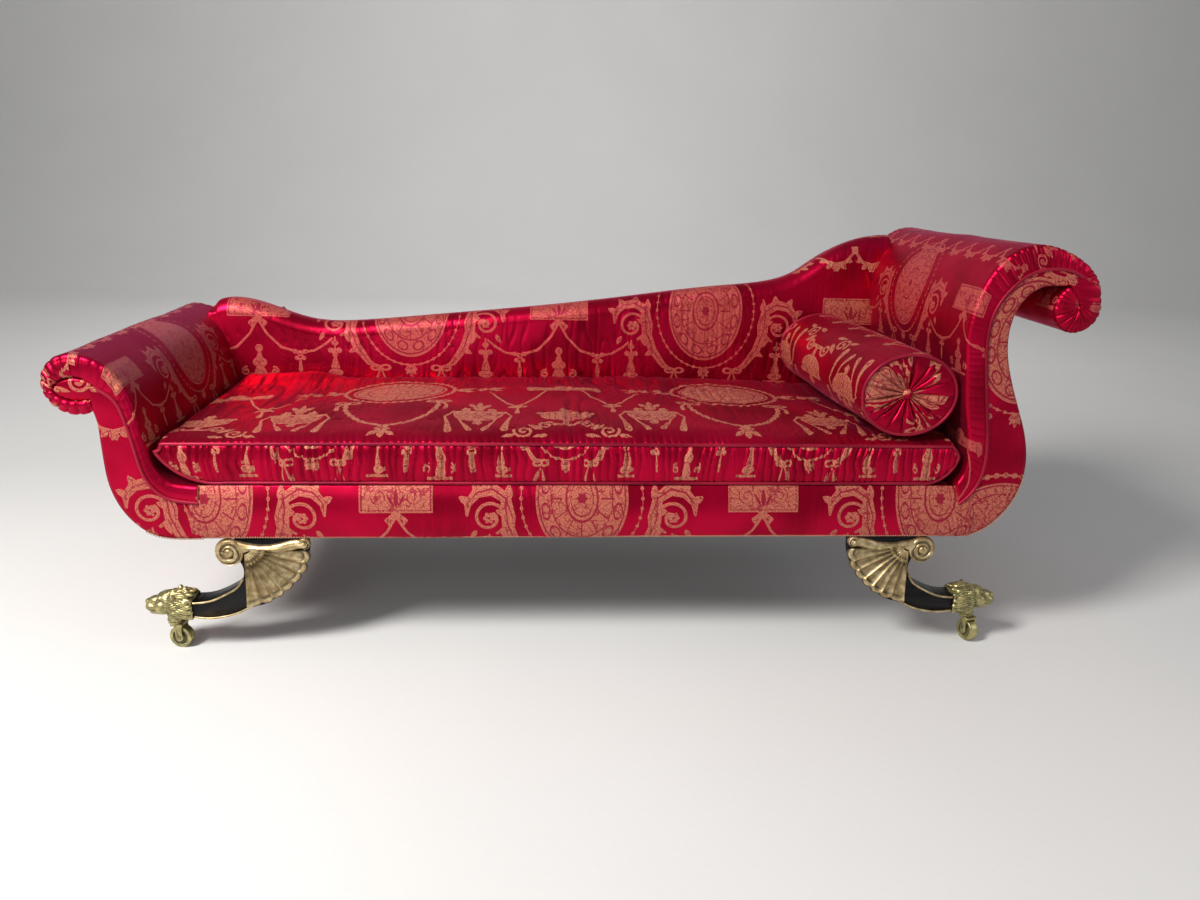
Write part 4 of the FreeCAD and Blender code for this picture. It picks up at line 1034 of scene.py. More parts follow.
@dataclass
class ScrollEnd:
    """One rolled end, in millimetres: stuffed pad with wrapped rims, facings, outside cover and piping."""

    name: str
    side: int
    stations: list[tuple[Point2, Point2]]
    welt_depths: list[float]
    lead_in: Point2
    roll_centre: Point2
    roll_radius: float
    tangent_deg: float
    rim_knots: list[Point3]
    eye_pairs: list[tuple[Point2, Point2]]
    cloth_at: Point2
    facing_at: Point2
    pleat_pitch: float
    rim_dip: float
    # painted light on the end's pad: purple painted sheen above 0, gold faded by painted light below 0
    painted_light_tint: float
    taper: float = 0.0
    cloth_scale: float = 1.3
    pitch: float = 2.4
    edge_r: float = 10.0
    rim_puff: float = 5.0
    pleat_rise: float = 4.3
    pleat_draw: float = 16.0
    welt_proud: float = 1.8
    seed: int = 3
    inner: Spline = field(init=False)
    outer: Spline = field(init=False)
    welt: Spline = field(init=False)

    def __post_init__(self) -> None:
        """Lay out the curves that the construction uses."""
        angle = math.radians(self.tangent_deg)
        start = (self.roll_centre[0] + self.roll_radius * math.cos(angle),
                 self.roll_centre[1] + self.roll_radius * math.sin(angle))
        self.inner = Spline([a for a, _ in self.stations] + [self.lead_in, start])
        self.outer = Spline([b for _, b in self.stations])
        marks = []
        for (a, b), depth in zip(self.stations, self.welt_depths):
            share = depth / math.dist(a, b)
            marks.append((a[0] + (b[0] - a[0]) * share, a[1] + (b[1] - a[1]) * share))
        self.welt = Spline(marks)

    @property
    def last(self) -> int:
        """Number of the last station."""
        return len(self.stations) - 1

    def skin(self) -> Skin:
        """The seat-side skin, up the end and round the roll, with the rim's end beside each point."""
        last, fine = self.last, 4000
        station = np.linspace(0, last + 2, fine)
        up = self.inner.at_station(station)
        end = self.stations[-1][1]
        end_deg = math.degrees(math.atan2(end[1] - self.roll_centre[1], end[0] - self.roll_centre[0]))
        while end_deg > self.tangent_deg:
            end_deg -= 360.0
        angle = np.radians(np.linspace(self.tangent_deg, end_deg, 2000)[1:])
        arc = self.roll_radius * coords(np.cos(angle), np.sin(angle)) + self.roll_centre
        path = np.concatenate([up, arc])
        station = np.concatenate([station, np.full(len(arc), last + 2.0)])
        run = lengths(path)
        after = np.interp(last, station[:fine], run[:fine])
        at = np.linspace(0, run[-1], int(run[-1] / self.pitch))
        edge = np.stack([np.interp(at, run, path[:, k]) for k in (0, 1)], axis=1)
        place = np.interp(at, run, station)
        progress = np.clip((at - after) / (run[-1] - after), 0, 1)
        knots = [(0.0, *self.welt.points[-1])] + list(self.rim_knots)
        turn = Spline([k[1:] for k in knots])
        beyond = turn.at_station(np.interp(progress, [k[0] for k in knots], np.arange(len(knots))))
        rim = np.where(progress[:, None] > 0, beyond, self.welt.at_station(np.minimum(place, last)))
        roll = smooth(at, run[fine - 1] - 40, run[fine - 1] + 10)
        return Skin(at, edge, rim, roll)

    def placed(self, flat: Array, y: Array) -> Array:
        """Points of the end's side view, with their y, in metres, with the roll's taper to the back."""
        x, z, y = flat[..., 0], flat[..., 1], np.broadcast_to(y, flat[..., 0].shape)
        z = z - self.taper * smooth(z, 690, 880) * (y / FACE * 0.5 + 0.22)
        return metres(self.side * x, y, z)

    def pad(self) -> Shell:
        """Stuffed pad: its skin, the rims that wrap over both faces in pleats, and its hidden inside."""
        rows = self.skin()
        face, r = FACE, self.edge_r
        reach = np.linalg.norm(rows.edge - rows.rim, axis=1)[:, None]
        way = ((rows.edge - rows.rim) / reach)[:, None, :]
        edge, rim = rows.edge[:, None, :], rows.rim[:, None, :]
        count = len(rows.run)
        across, turn = np.linspace(0, 1, 17)[None, :], np.linspace(0, math.pi / 2, 8)[None, 1:-1]
        ys = np.linspace(-face + r, face - r, 186)[None, :]
        inner_r = edge - way * r
        band = rim + (inner_r - rim) * across[..., None]
        puff = self.rim_puff * np.sin(math.pi * np.clip(across, 0, 1)) ** 0.7
        puff = puff * (rows.roll[:, None] * 0.6 + 0.4)
        dip = self.rim_dip * rows.roll[:, None] * smooth(across, 0.16, 0.0)
        band_u = -face + r - r * math.pi / 2 - (reach - r) * (1 - across)
        band_fold = 0.45 + 0.55 * across
        corner = inner_r + way * (r * np.sin(turn))[..., None]
        corner_y, corner_u = face - r + r * np.cos(turn), face - r + r * (math.pi / 2 - turn)
        corner_fold = 1.0 - 0.55 * turn / turn.max()
        back = np.s_[:, ::-1]
        hidden = edge - way * np.minimum(reach * 0.98, 30.0)[..., None]
        # Each part: flat points, y, share of the normal that is flat, share along y, cloth u, fold strength
        parts = [(band, -face - puff + dip, 0.0, -1.0, band_u, band_fold),
                 (corner, -corner_y, np.sin(turn), -np.cos(turn), -corner_u, corner_fold),
                 (edge, ys, 1.0, 0.0, ys, 0.45 * np.exp(-(face - r - np.abs(ys)) / 22.0)),
                 (corner[back], corner_y[back], np.sin(turn)[back], np.cos(turn)[back], corner_u[back],
                  corner_fold[back]),
                 (band[:, ::-2], face + puff[:, ::-2] * 0.4, 0.0, 1.0, -band_u[:, ::-2], band_fold[:, ::-2])]
        # The rims' turned-in edges, inside the shell
        for flat, y, side in ((rim, face - 8.0, 1), (hidden, face - 14.0, 1), (hidden, face - 14.0, -1),
                              (rim, face - 8.0, -1)):
            parts.append((flat, np.array([[side * y]]), 0.0, 0.0, side * (face + reach), np.zeros((1, 1))))
        ridge = pleats(rows.run, self.pleat_pitch, self.seed)
        strength = 0.75 + 0.25 * noise(rows.run / 60, 0.3, self.seed + 5)
        strength = strength * (0.22 + 0.78 * smooth(rows.run, rows.run[-1] * 0.30, rows.run[-1] * 0.62))
        swell = (ridge * strength)[:, None]
        grids, cloths, folds = [], [], []
        for flat, *others in parts:
            cols = max(flat.shape[1], np.shape(others[0])[-1])
            flat = np.broadcast_to(flat, (count, cols, 2))
            others = [np.broadcast_to(a, (count, cols)) for a in (*others, rows.run[:, None], swell)]
            y, out, along, u, fade, run, fold = others
            soft = 1.6 * noise(y / 85, run / 85, self.seed + 9) * out
            soft = soft - 0.8 * out * creases(run, y, 15.0, self.seed + 40) * fade
            fold = fold * fade
            height = fold * self.pleat_rise + soft
            grids.append(self.placed(flat + way * (height * out)[..., None], y + height * along))
            cloths.append(metres(u, run + fold * self.pleat_draw) * self.cloth_scale + self.cloth_at)
            folds.append(fold)
        return tube(*(np.concatenate(grid, axis=1) for grid in (grids, cloths, folds)))

    def face_grid(self, pitch: float, cols: int) -> Array:
        """Flat points between the piping and the outside edge, then on into the roll's eye."""
        run = np.linspace(0, self.last, int(self.outer.knots[-1] / pitch))
        pairs = [np.stack([self.welt.at_station(run), self.outer.at_station(run)], axis=1)]
        eye = np.array(self.eye_pairs)
        seam = np.stack([pairs[0][-1], eye[0]])
        pairs.append(seam[0] + (seam[1] - seam[0]) * np.linspace(0, 1, 8)[1:-1, None, None])
        at = np.linspace(0, len(eye) - 1, max(12, int(Spline(eye[:, 0]).knots[-1] / pitch)))
        pairs.append(np.stack([Spline(eye[:, 0]).at_station(at), Spline(eye[:, 1]).at_station(at)], axis=1))
        pair = np.concatenate(pairs)
        across = np.linspace(0, 1, cols)[None, :, None]
        return pair[:, :1] + (pair[:, 1:] - pair[:, :1]) * across

    def facing(self, front: bool) -> Shell:
        """Cover of the front or rear face, inside the piping."""
        flat = self.face_grid(2.8 if front else 6.0, 40 if front else 16)
        across = np.linspace(0, 1, flat.shape[1])[None, :]
        rim = smooth(across, 0.08, 0.0) * 2.5 + smooth(across, 0.90, 1.0) * 3.0
        proud = 2.0 * np.sin(math.pi * across) + 0.5 * noise(flat[..., 0] / 40, flat[..., 1] / 40, self.seed)
        way = -1 if front else 1
        outer = self.placed(flat, way * (FACE + 0.5 + proud - rim))
        inner = self.placed(flat, np.array(way * (FACE - FACING_T / MM)))
        cloth = metres(self.side * flat[..., 0], flat[..., 1]) + self.facing_at
        # painted shade along the edge by the piping: a dark groove marked in the folds
        fold = -smooth(across, 0.05, 0.0) * np.ones(flat.shape[:2]) * 0.8
        return slab(outer, inner, cloth, fold)

    def outside(self) -> Shell:
        """Cover of the end's outer side, from under the roll down to the base."""
        rows, cols = int(self.outer.knots[-1] / 5.0), 116
        run = np.linspace(0, self.last, rows)
        edge = self.outer.at_station(run)[:, None, :] + np.zeros((1, cols, 1))
        under = self.inner.at_station(run)[:, None, :]
        way = (under - edge) / np.linalg.norm(under - edge, axis=-1, keepdims=True)
        y = np.linspace(-FACE + 4, FACE - 4, cols)[None, :]
        hollow = 1.5 * noise(y / 120, run[:, None] * 0.6, self.seed + 20)
        cloth = metres(-y, (run * self.outer.knots[-1] / self.last)[:, None]) + self.cloth_at
        outer = self.placed(edge + way * (1.0 + np.abs(hollow))[..., None], y)
        return slab(outer, self.placed(edge + way * 8.0, y), cloth)

    def knot(self) -> list[Shell]:
        """Small gathered button where the roll's pleats meet, on both faces."""
        shells = []
        if self.rim_dip > 0:
            return shells
        ring = np.linspace(0, 2 * math.pi, 25)[:-1]
        for way in (-1, 1):
            rows = []
            for radius, proud in ((0, 5.5), (2.5, 5.2), (5, 3.6), (6.5, 1.2), (6.5, -4.0), (0, -4.0)):
                flat = radius * coords(np.cos(ring), np.sin(ring)) + self.roll_centre + (1.5, 0.0)
                rows.append(self.placed(flat, np.array(way * (FACE + proud))))
            grid = np.stack(rows)
            shells.append(ball(grid, grid[..., [0, 2]]))
        return shells

    def dress(self, paths: PathMaker) -> None:
        """Make the end's pieces."""
        # painted light: purple painted sheen on the top front of the roll, or gold faded by painted light all
        # over
        low = 0.25 if self.painted_light_tint > 0 else 1.0
        painted_light_tint = (lambda points: self.painted_light_tint * (low + (1.0 - low) * smooth(points[:, 2], 0.50, 0.64)
                                            * smooth(points[:, 1], -0.352, -0.325)))
        add_piece(f"{self.name}_end_cover", [self.pad(), *self.knot()],
                  [f"{self.name}_end_pad"], painted_light_tint)
        # gold faded toward crimson by painted light on the front facing
        painted_light_fade_level = (lambda points: np.full(len(points), -0.30))
        add_piece(f"{self.name}_facing_cover", [self.facing(True)], [f"{self.name}_front_facing"], painted_light_fade_level)
        add_piece(f"{self.name}_outside_cover", [self.outside()], [f"{self.name}_outside_panel"])
        paths.piece(f"{self.name}_front_piping", "cord", [self.welt_line(-1)], Finish.WELT, "frame",
                    [f"{self.name}_front_welt"])
        trim = self.outer.evenly(4.0)
        edge = self.placed(trim, np.array(-FACE + 0.5))
        paths.piece(f"{self.name}_gimp", "beads", [edge[: int(len(edge) * 0.3)]], Finish.GIMP, "frame",
                    radius=0.0019, pitch=0.0052)

    def welt_line(self, side: int) -> Array:
        """Path of the piping on the front (-1) or rear (+1) face."""
        return self.placed(self.welt.evenly(4.0), np.array(side * (FACE + self.welt_proud)))


def dress_rear(ends: Sequence[ScrollEnd], paths: PathMaker) -> None:
    """Facings and piping of both ends' rear faces."""
    covers, lines = [end.facing(False) for end in ends], [end.welt_line(1) for end in ends]
    add_piece("rear_facing_covers", covers, ["rear_facings"])
    paths.piece("rear_piping", "cord", lines, Finish.WELT, "frame", ["rear_welts"])


def low_end() -> ScrollEnd:
    """The foot end, with its wide low roll."""
    return ScrollEnd(
        "left", -1,
        stations=[((800, 387), (800, 270)), ((826, 389.5), (849, 270)), ((852, 396), (894, 277)),
                  ((880, 425), (950, 325)), ((890, 465), (976, 395)), ((897, 505), (979, 450)),
                  ((905, 550), (979, 498)), ((919, 597), (980, 527)), ((950, 641), (984.5, 549.3))],
        welt_depths=[36, 35, 34, 30, 26, 24, 25, 32, 50], lead_in=(975, 656), roll_centre=(1015.5, 603.0),
        roll_radius=62.0, tangent_deg=100.0,
        rim_knots=[(0.10, 985, 609), (0.22, 1009, 616), (0.40, 1035, 611), (0.58, 1051, 593),
                   (0.745, 1035, 575), (0.909, 1009, 571), (1.0, 985, 573)],
        eye_pairs=[((985, 609), (985, 573)), ((1009, 616), (1009, 571)), ((1035, 611), (1035, 575)),
                   ((1047, 603), (1047, 583)), ((1051, 594), (1051, 592))],
        # a purple painted sheen on the top front of this end's roll
        cloth_at=(0.0, -0.385), facing_at=(0.70, -0.378), pleat_pitch=22.0, rim_dip=5.0, painted_light_tint=0.75, seed=3)


def high_end() -> ScrollEnd:
    """The head end, with its tall neck and small roll."""
    return ScrollEnd(
        "right", 1,
        stations=[((826, 396), (846, 270)), ((833, 407), (883, 278)), ((838, 420), (921, 303)),
                  ((841, 455), (968, 385)), ((835, 500), (971, 460)), ((822, 560), (942, 550)),
                  ((808, 640), (905, 638)), ((800, 710), (888, 705)), ((807, 785), (889, 752)),
                  ((842, 862), (904, 791)), ((895, 901), (930, 816)), ((950, 904), (962, 825)),
                  ((1003, 884), (988, 825)), ((1042, 858), (1000.25, 825.6))],
        welt_depths=[49, 47, 45, 42, 43, 43, 42, 41, 42, 54, 55, 46, 30, 26], lead_in=(1066, 828),
        roll_centre=(1026.0, 781.0), roll_radius=51.5, tangent_deg=15.0,
        rim_knots=[(0.08, 1010.5, 830.5), (0.17, 1015, 812), (0.243, 1022.5, 790), (0.436, 1027.0, 780.1),
                   (0.629, 1024.9, 778.7), (0.822, 1023.5, 781.0), (1.0, 1024.75, 783.2)],
        eye_pairs=[((1010.5, 830.5), (1003, 822)), ((1015, 812), (1011, 806)), ((1022.5, 790), (1022, 788))],
        # gold faded toward crimson by painted light all over this end's pad
        cloth_at=(0.0, -0.52), facing_at=(-0.93, -0.71), pleat_pitch=17.0, rim_dip=0.0, painted_light_tint=-0.55,
        taper=12.0, seed=31)


# The back

@dataclass
class Back:
    """The low back along the rear of the seat: stuffed inside and outside cover, in millimetres."""

    ends: tuple[ScrollEnd, ScrollEnd]
    top: tuple[Point2, ...] = (
        (-974, 664), (-958, 671), (-925, 685), (-890, 688), (-838, 679), (-777, 658), (-716, 638),
        (-654, 629), (-587, 630), (-414, 645), (-145, 671), (126, 703), (398, 738), (525, 753),
        (565, 763), (616, 787), (667, 822), (720, 852), (773, 871), (827, 880), (890, 881))
    foot_z: float = 388.6
    front_y: float = 232.0
    rear_y: float = 345.0
    stuffing_y: float = 304.0
    roll: float = 36.0
    roll_share: float = 0.86
    lean: float = 14.0
    roll_depth: float = 42.0
    length: float = 1864.0
    low_roll_z: float = 655.0
    pitch: float = 3.0
    cloth_at: Point2 = (0.435, -0.675)

    def top_z(self, x: Array) -> Array:
        """Height of the top line."""
        marks = np.array(self.top)
        curve = Spline(marks).at_station(np.linspace(0, len(marks) - 1, 2000))
        return np.interp(x, curve[:, 0], curve[:, 1])

    def between_ends(self, z: Array, sink: float) -> tuple[Array, Array]:
        """How far left and right the back runs at height z, sunk into each end's skin."""
        low = self.ends[0].inner.at_station(np.linspace(0, len(self.ends[0].stations), 600))
        high = self.ends[1].inner.at_station(np.linspace(0, 10, 600))
        left = -np.interp(z, low[:, 1], low[:, 0] + sink)
        left = np.where(z > self.low_roll_z, self.top[0][0], left)
        return left, np.interp(z, high[:, 1], high[:, 0] + sink)

    def inside(self) -> Shell:
        """Stuffed inside back, with its rolled top, fitted between the ends."""
        rows = int(self.length / self.pitch)
        share = np.linspace(0, 1, rows)[:, None]
        face, over = np.linspace(0, self.roll_share, 120), np.linspace(self.roll_share, 1.0, 16)[1:]
        up = np.append(face, over)[None, :]
        lift = np.minimum(up / self.roll_share, 1.0)
        x = self.top[0][0] + (self.top[-1][0] - self.top[0][0]) * share
        for _ in range(3):
            z = self.foot_z + (self.top_z(x) - self.roll - self.foot_z) * lift
            left, right = self.between_ends(np.maximum(z, 390), 14.0)
            x = left + (right - left) * share
        crest = self.top_z(x)
        shoulder = crest - self.roll
        z = self.foot_z + (shoulder - self.foot_z) * lift
        y = self.front_y + self.lean * lift - 9.0 * np.sin(math.pi * lift)
        turn = np.clip((up - self.roll_share) / (1 - self.roll_share), 0, 1) * math.pi / 2
        z = np.where(up > self.roll_share, shoulder + self.roll * np.sin(turn), z)
        over_y = self.front_y + self.lean + self.roll_depth * (1 - np.cos(turn))
        y = np.where(up > self.roll_share, over_y, y)
        soft = noise(x / 150, z / 110, 41) * 2.6 + noise(x / 48, z / 60, 42) * 0.6
        wrinkle = creases(x, z, 13.0, 43) + 0.45 * creases(x, z, 6.5, 47)
        y = y - (soft - 1.9 * wrinkle) * (1 - smooth(up, self.roll_share, 1.0))
        # Over the top, down the rear and back under the stuffing
        fall = np.linspace(0, 1, 14)[None, 1:] * math.pi / 2
        crown, ones = crest[:, -1:], np.ones((rows, 1))
        crown_y = self.front_y + self.lean + self.roll_depth
        rear_y = crown_y + (self.rear_y - crown_y) * np.sin(fall)
        shut_y = np.array([[self.rear_y, self.stuffing_y, self.stuffing_y]])
        xs = np.concatenate([x, x[:, -1:] + 0 * fall, x[:, -1:], x[:, -1:], x[:, :1]], axis=1)
        ys = np.concatenate([y, rear_y * ones, shut_y * ones], axis=1)
        zs = np.concatenate([z, crown - 26.0 * (1 - np.cos(fall)), crown - self.roll, crown - self.roll - 4,
                             self.foot_z * ones], axis=1)
        points = coords(xs, ys, zs)
        # The low end of the top rounds off over the roll
        ease = smooth(share, 0.022, 0.0)[..., None] * (zs > self.low_roll_z)[..., None]
        centre = np.array([0.0, 288.0, self.low_roll_z])
        points = points + (centre - points) * ease * np.array([0.0, 0.45, 0.55])
        cloth = metres(xs, self.pad_v(z, up, points)) + self.cloth_at
        fold = np.zeros(xs.shape)
        # crease depths marked for painted shade in the silk
        fold[:, :x.shape[1]] = -0.40 * wrinkle
        return tube(points * MM, cloth, fold)

    def pad_v(self, z: Array, up: Array, points: Array) -> Array:
        """Cloth height of the pad: straight up the face, on over the roll, then by mean distance."""
        cols = up.shape[1]
        roll = int(np.argmax(up[0] > self.roll_share)) - 1
        arc = (np.arange(cols - roll) * (self.roll * 1.6 / (cols - roll - 1)))[None, :]
        step = np.linalg.norm(np.diff(points[:, :, 1:], axis=1), axis=-1).mean(axis=0)
        behind = self.foot_z + np.cumsum(step)[cols - 1:] + 0 * z[:, :1]
        return np.concatenate([z[:, :roll], z[:, roll:roll + 1] + arc, behind], axis=1)

    def outside(self) -> Shell:
        """Flat cover of the rear, from the base to just under the roll."""
        rows, cols = 230, 60
        share, lift = np.linspace(0, 1, rows)[:, None], np.linspace(0, 1, cols)[None, :]
        x = self.top[0][0] + (self.top[-1][0] - self.top[0][0]) * share + 0 * lift
        for _ in range(3):
            z = 270.0 + (self.top_z(x) - 10.0 - 270.0) * lift
            left, right = self.between_ends(np.clip(z, 390, None), 22.0)
            x = left + (right - left) * share
        y = 345.5 - 6.0 * smooth(lift, 0.965, 1.0) + 0.8 * noise(x / 130, z / 130, 61)
        return slab(metres(x, y, z), metres(x, 335.0, z), metres(-x, z) + self.cloth_at)

    def dress(self, paths: PathMaker) -> None:
        """Make the back's pieces."""
        # painted light: purple painted sheen on the upper right of the back, gold faded by painted light over
        # the rest
        painted_light_tint = (lambda p: 0.8 * smooth(p[:, 0], 0.40, 0.80) * smooth(p[:, 2], 0.62, 0.84) - 0.5)
        add_piece("back_cover", [self.inside()], ["back_pad"], painted_light_tint)
        add_piece("outside_back_cover", [self.outside()], ["outside_back_panel"])


# The seat

@dataclass
class Seat:
    """Rail cover, platform and the loose cushion with its gathered front. Sizes in millimetres."""

    rail_x: Point2 = (-820.0, 868.0)
    deck_x: Point2 = (-799.5, 822.0)
    deck_y: Point2 = (-331.5, 302.5)
    cushion_z: float = 389.5
    cushion_x: Point2 = (-883.0, 820.0)
    cushion_cut: float = 1680.0
    ring_pitch: float = 3.2
    gather_rise: float = 6.4
    stations: tuple[Point3, ...] = (
        (-330, 477, 479), (-318, 482, 487), (-230, 485, 505), (-60, 486, 516), (90, 485, 513),
        (200, 481, 498), (222, 475, 480))
    rail_cloth: Point2 = (-0.002, -0.36)
    top_cloth: Point2 = (0.426, -0.393)
    border_cloth: Point2 = (0.05, -0.60)
    seed: int = 71

    def rail(self) -> Shell:
        """Padded cover of the front rail, gathered where it meets the ends."""
        rows = int((self.rail_x[1] - self.rail_x[0]) / 3.0)
        x = np.linspace(*self.rail_x, rows)[:, None]
        profile = Spline([(-343, 270), (-349, 290), (-351, 310), (-349.5, 332), (-345.5, 353), (-340, 371),
                          (-333, 386)])
        front = profile.at_station(np.linspace(0, 6, 44))
        y = front[None, :, 0] + 0 * x
        z = front[None, :, 1] + 0 * x
        end = sum(smooth(x, at + 90 * way, at + 15 * way) for at, way in zip(self.rail_x, (1, -1)))
        ridge = pleats((x + (z - 330) * 0.25 * np.sign(x)).ravel(), 9.0, self.seed).reshape(y.shape)
        sag = noise(x / 170, z / 70, self.seed + 1) * 1.6 + 0.8 * creases(x + 0 * z, z, 12.0, self.seed + 2)
        y = y - ridge * end * 2.4 - sag
        back_y = np.array([[-333.0, -333.0]]) + 0 * x
        back_z = np.array([[386.0, 270.0]]) + 0 * x
        ys, zs = np.concatenate([y, back_y], axis=1), np.concatenate([z, back_z], axis=1)
        xs = x + 0 * ys
        cloth = metres(xs, zs) + self.rail_cloth
        fold = np.concatenate([ridge * end, 0 * back_y], axis=1)
        return tube(metres(xs, ys, zs), cloth, fold)

    def platform(self) -> Shell:
        """Stuffed platform under the cushion, a little crowned."""
        xs, ys = np.linspace(*self.deck_x, 160)[:, None], np.linspace(*self.deck_y, 64)[None, :]
        inset = np.minimum(np.minimum(xs - self.deck_x[0], self.deck_x[1] - xs),
                           np.minimum(ys - self.deck_y[0], self.deck_y[1] - ys))
        grid = metres(xs, ys, 385.6 - 4.0 * smooth(inset, 9.0, 0.0))
        return slab(grid, metres(xs, ys, 367.0), grid[..., :2] + self.top_cloth)

    def edges(self, y: Array) -> tuple[Array, Array]:
        """Heights of the cushion's edge and crown at y."""
        marks = np.array(self.stations, float)
        curve = Spline(marks).at_station(np.linspace(0, len(marks) - 1, 600))
        return np.interp(y, curve[:, 0], curve[:, 1]), np.interp(y, curve[:, 0], curve[:, 2])

    def section(self, edge: float, crown: float, pitch: float, inset: float = 0.0) -> Array:
        """Outline of the cushion at one y, from the left nose over the top, the right nose and the bottom."""
        foot, left, right = self.cushion_z + inset, self.cushion_x[0] + inset, self.cushion_x[1] - inset
        edge, crown = edge - inset, crown - inset
        a, b = (left + 138, foot), (right - 78, foot)
        nose_l, nose_r = (left, self.cushion_z + 70), (right + 8, self.cushion_z + 62)
        top_l, top_r = (left + 14, edge), (right - 10, edge)
        mid = (left + right) / 2
        arcs = [arc3(nose_l, (left + 3, edge - 16), top_l, 14),
                arc3(top_l, (mid, crown), top_r, int(self.cushion_cut / pitch)),
                arc3(top_r, (right + 3, edge - 14), nose_r, 14), arc3(nose_r, (right - 14, foot + 20), b, 20),
                np.linspace(b, a, 90), arc3(a, (left + 45, foot + 21), nose_l, 28)]
        return np.concatenate([arc[:-1] for arc in arcs])

    def body(self) -> Shell:
        """The wrapped cloth: top, noses and underside, with short gathers behind the front piping."""
        ys = np.concatenate([[-329.0], np.linspace(-327.5, 219.5, 166), [221.0]])
        rings = []
        for y in ys:
            edge, crown = self.edges(np.array(y))
            rings.append(self.section(float(edge), float(crown), self.ring_pitch))
        flat = np.stack(rings)
        rows, cols = flat.shape[:2]
        y = ys[:, None] + np.zeros((1, cols))
        x, z = flat[..., 0], flat[..., 1]
        top = smooth(z, 470, 476)
        near = (0.75 * np.exp(-(y + 330) / 26.0) + 0.35 * np.exp(-(y + 330) / 150.0)
                + 0.6 * np.exp(-(222 - y) / 40.0))
        ridge = pleats(x.ravel() + 0.12 * y.ravel(), 15.0, self.seed + 5).reshape(x.shape)
        ridge = ridge * (0.62 + 0.5 * noise(x / 60, y / 140, self.seed + 6))
        soft = noise(x / 160, y / 120, self.seed + 7) * 4.0 + noise(x / 55, y / 70, self.seed + 8) * 1.0
        wrinkle = creases(x, y, 19.0, self.seed + 30) + 0.4 * creases(x, y, 9.0, self.seed + 33)
        soft = soft - 5.2 * wrinkle
        puff = 22.0 * smooth(y, 120, 200) * smooth(y, 224, 205)
        puff = puff * smooth(x, -560, -700) * smooth(x, -878, -840)
        z = z + top * (ridge * near * 3.8 + soft * smooth(y, -330, -280) * smooth(y, 222, 180) + puff)
        run = lengths(flat[rows // 2])
        start = run[np.argmin(np.abs(flat[rows // 2, : cols // 2, 0]))]
        cloth = metres(run[None, :] - start, y) + self.top_cloth
        # pleat heights, with crease depths marked for painted shade in the silk
        return tube(metres(x, y, z), cloth, (ridge * near - 0.55 * wrinkle) * top)

    def panel(self, station: int, way: int, pitch: float, rows: int, proud: float) -> Shell:
        """Gathered border at the front (-1) or the rear (+1), inside its piping."""
        y0, edge, crown = self.stations[station]
        ring = self.section(edge, crown, self.ring_pitch, inset=3.0)
        cols = int(1690 / pitch)
        left, right = ring[:, 0].min() + 0.5, ring[:, 0].max() - 0.5
        xs = left + (right - left) * (0.5 - 0.5 * np.cos(math.pi * np.linspace(0, 1, cols)))
        xs = 0.12 * xs + 0.88 * np.linspace(left, right, cols)
        turn_l, turn_r = int(np.argmin(ring[:, 0])), int(np.argmax(ring[:, 0]))
        upper = ring[turn_l:turn_r + 1]
        lower = np.concatenate([ring[turn_r:], ring[:turn_l + 1]])
        order = np.argsort(lower[:, 0])
        high = np.interp(xs, upper[:, 0], upper[:, 1])[:, None]
        low = np.interp(xs, lower[order, 0], lower[order, 1])[:, None]
        lift = np.linspace(0, 1, rows)[None, :]
        z = low + (high - low) * lift
        x = xs[:, None] + 0 * z
        height = np.maximum(high - low, 1.0)
        bent = x + 5.0 * noise(z / 34, x / 60, 5) + (lift - 0.5) * 9.0 * noise(x / 45, 0.2, self.seed + 13)
        ridge = pleats(bent.ravel(), 18.5, self.seed + 11).reshape(x.shape) * (0.75 + 0.4 * lift)
        fine = pleats((x + 6 * noise(z / 30, x / 50, 5)).ravel(), 6.5, self.seed + 12).reshape(x.shape)
        cushion = np.sin(math.pi * lift) ** 0.6 * np.minimum(height / 60.0, 1.0)
        gather = (0.55 + 0.45 * np.abs(2 * lift - 1)) * np.sin(math.pi * np.clip(lift, 0.02, 0.98)) ** 0.35
        gathers = (ridge * self.gather_rise + fine * 1.4) * gather
        out = proud * cushion + gathers * np.minimum(height / 40.0, 1.0)
        # painted shade in the grooves at the border's top and bottom edges, under the piping
        painted_edge_shade = np.maximum(smooth(lift, 0.92, 0.985), smooth(lift, 0.08, 0.015))
        cloth = metres(bent * 1.5 + ridge * 10.0, z) + self.border_cloth
        folds = (ridge * 0.8 + fine * 0.3) * gather - painted_edge_shade * 0.9
        return slab(metres(x, y0 + way * out, z), metres(x, y0 - way * 8.0, z), cloth, folds)

    def piping(self, station: int, way: int) -> Array:
        """Path of the piping round a border."""
        y0, edge, crown = self.stations[station]
        ring = self.section(edge, crown, 12.0, inset=1.5)
        return metres(ring[:, 0], y0 + way, ring[:, 1])

    def dress(self, paths: PathMaker) -> None:
        """Make the seat's pieces."""
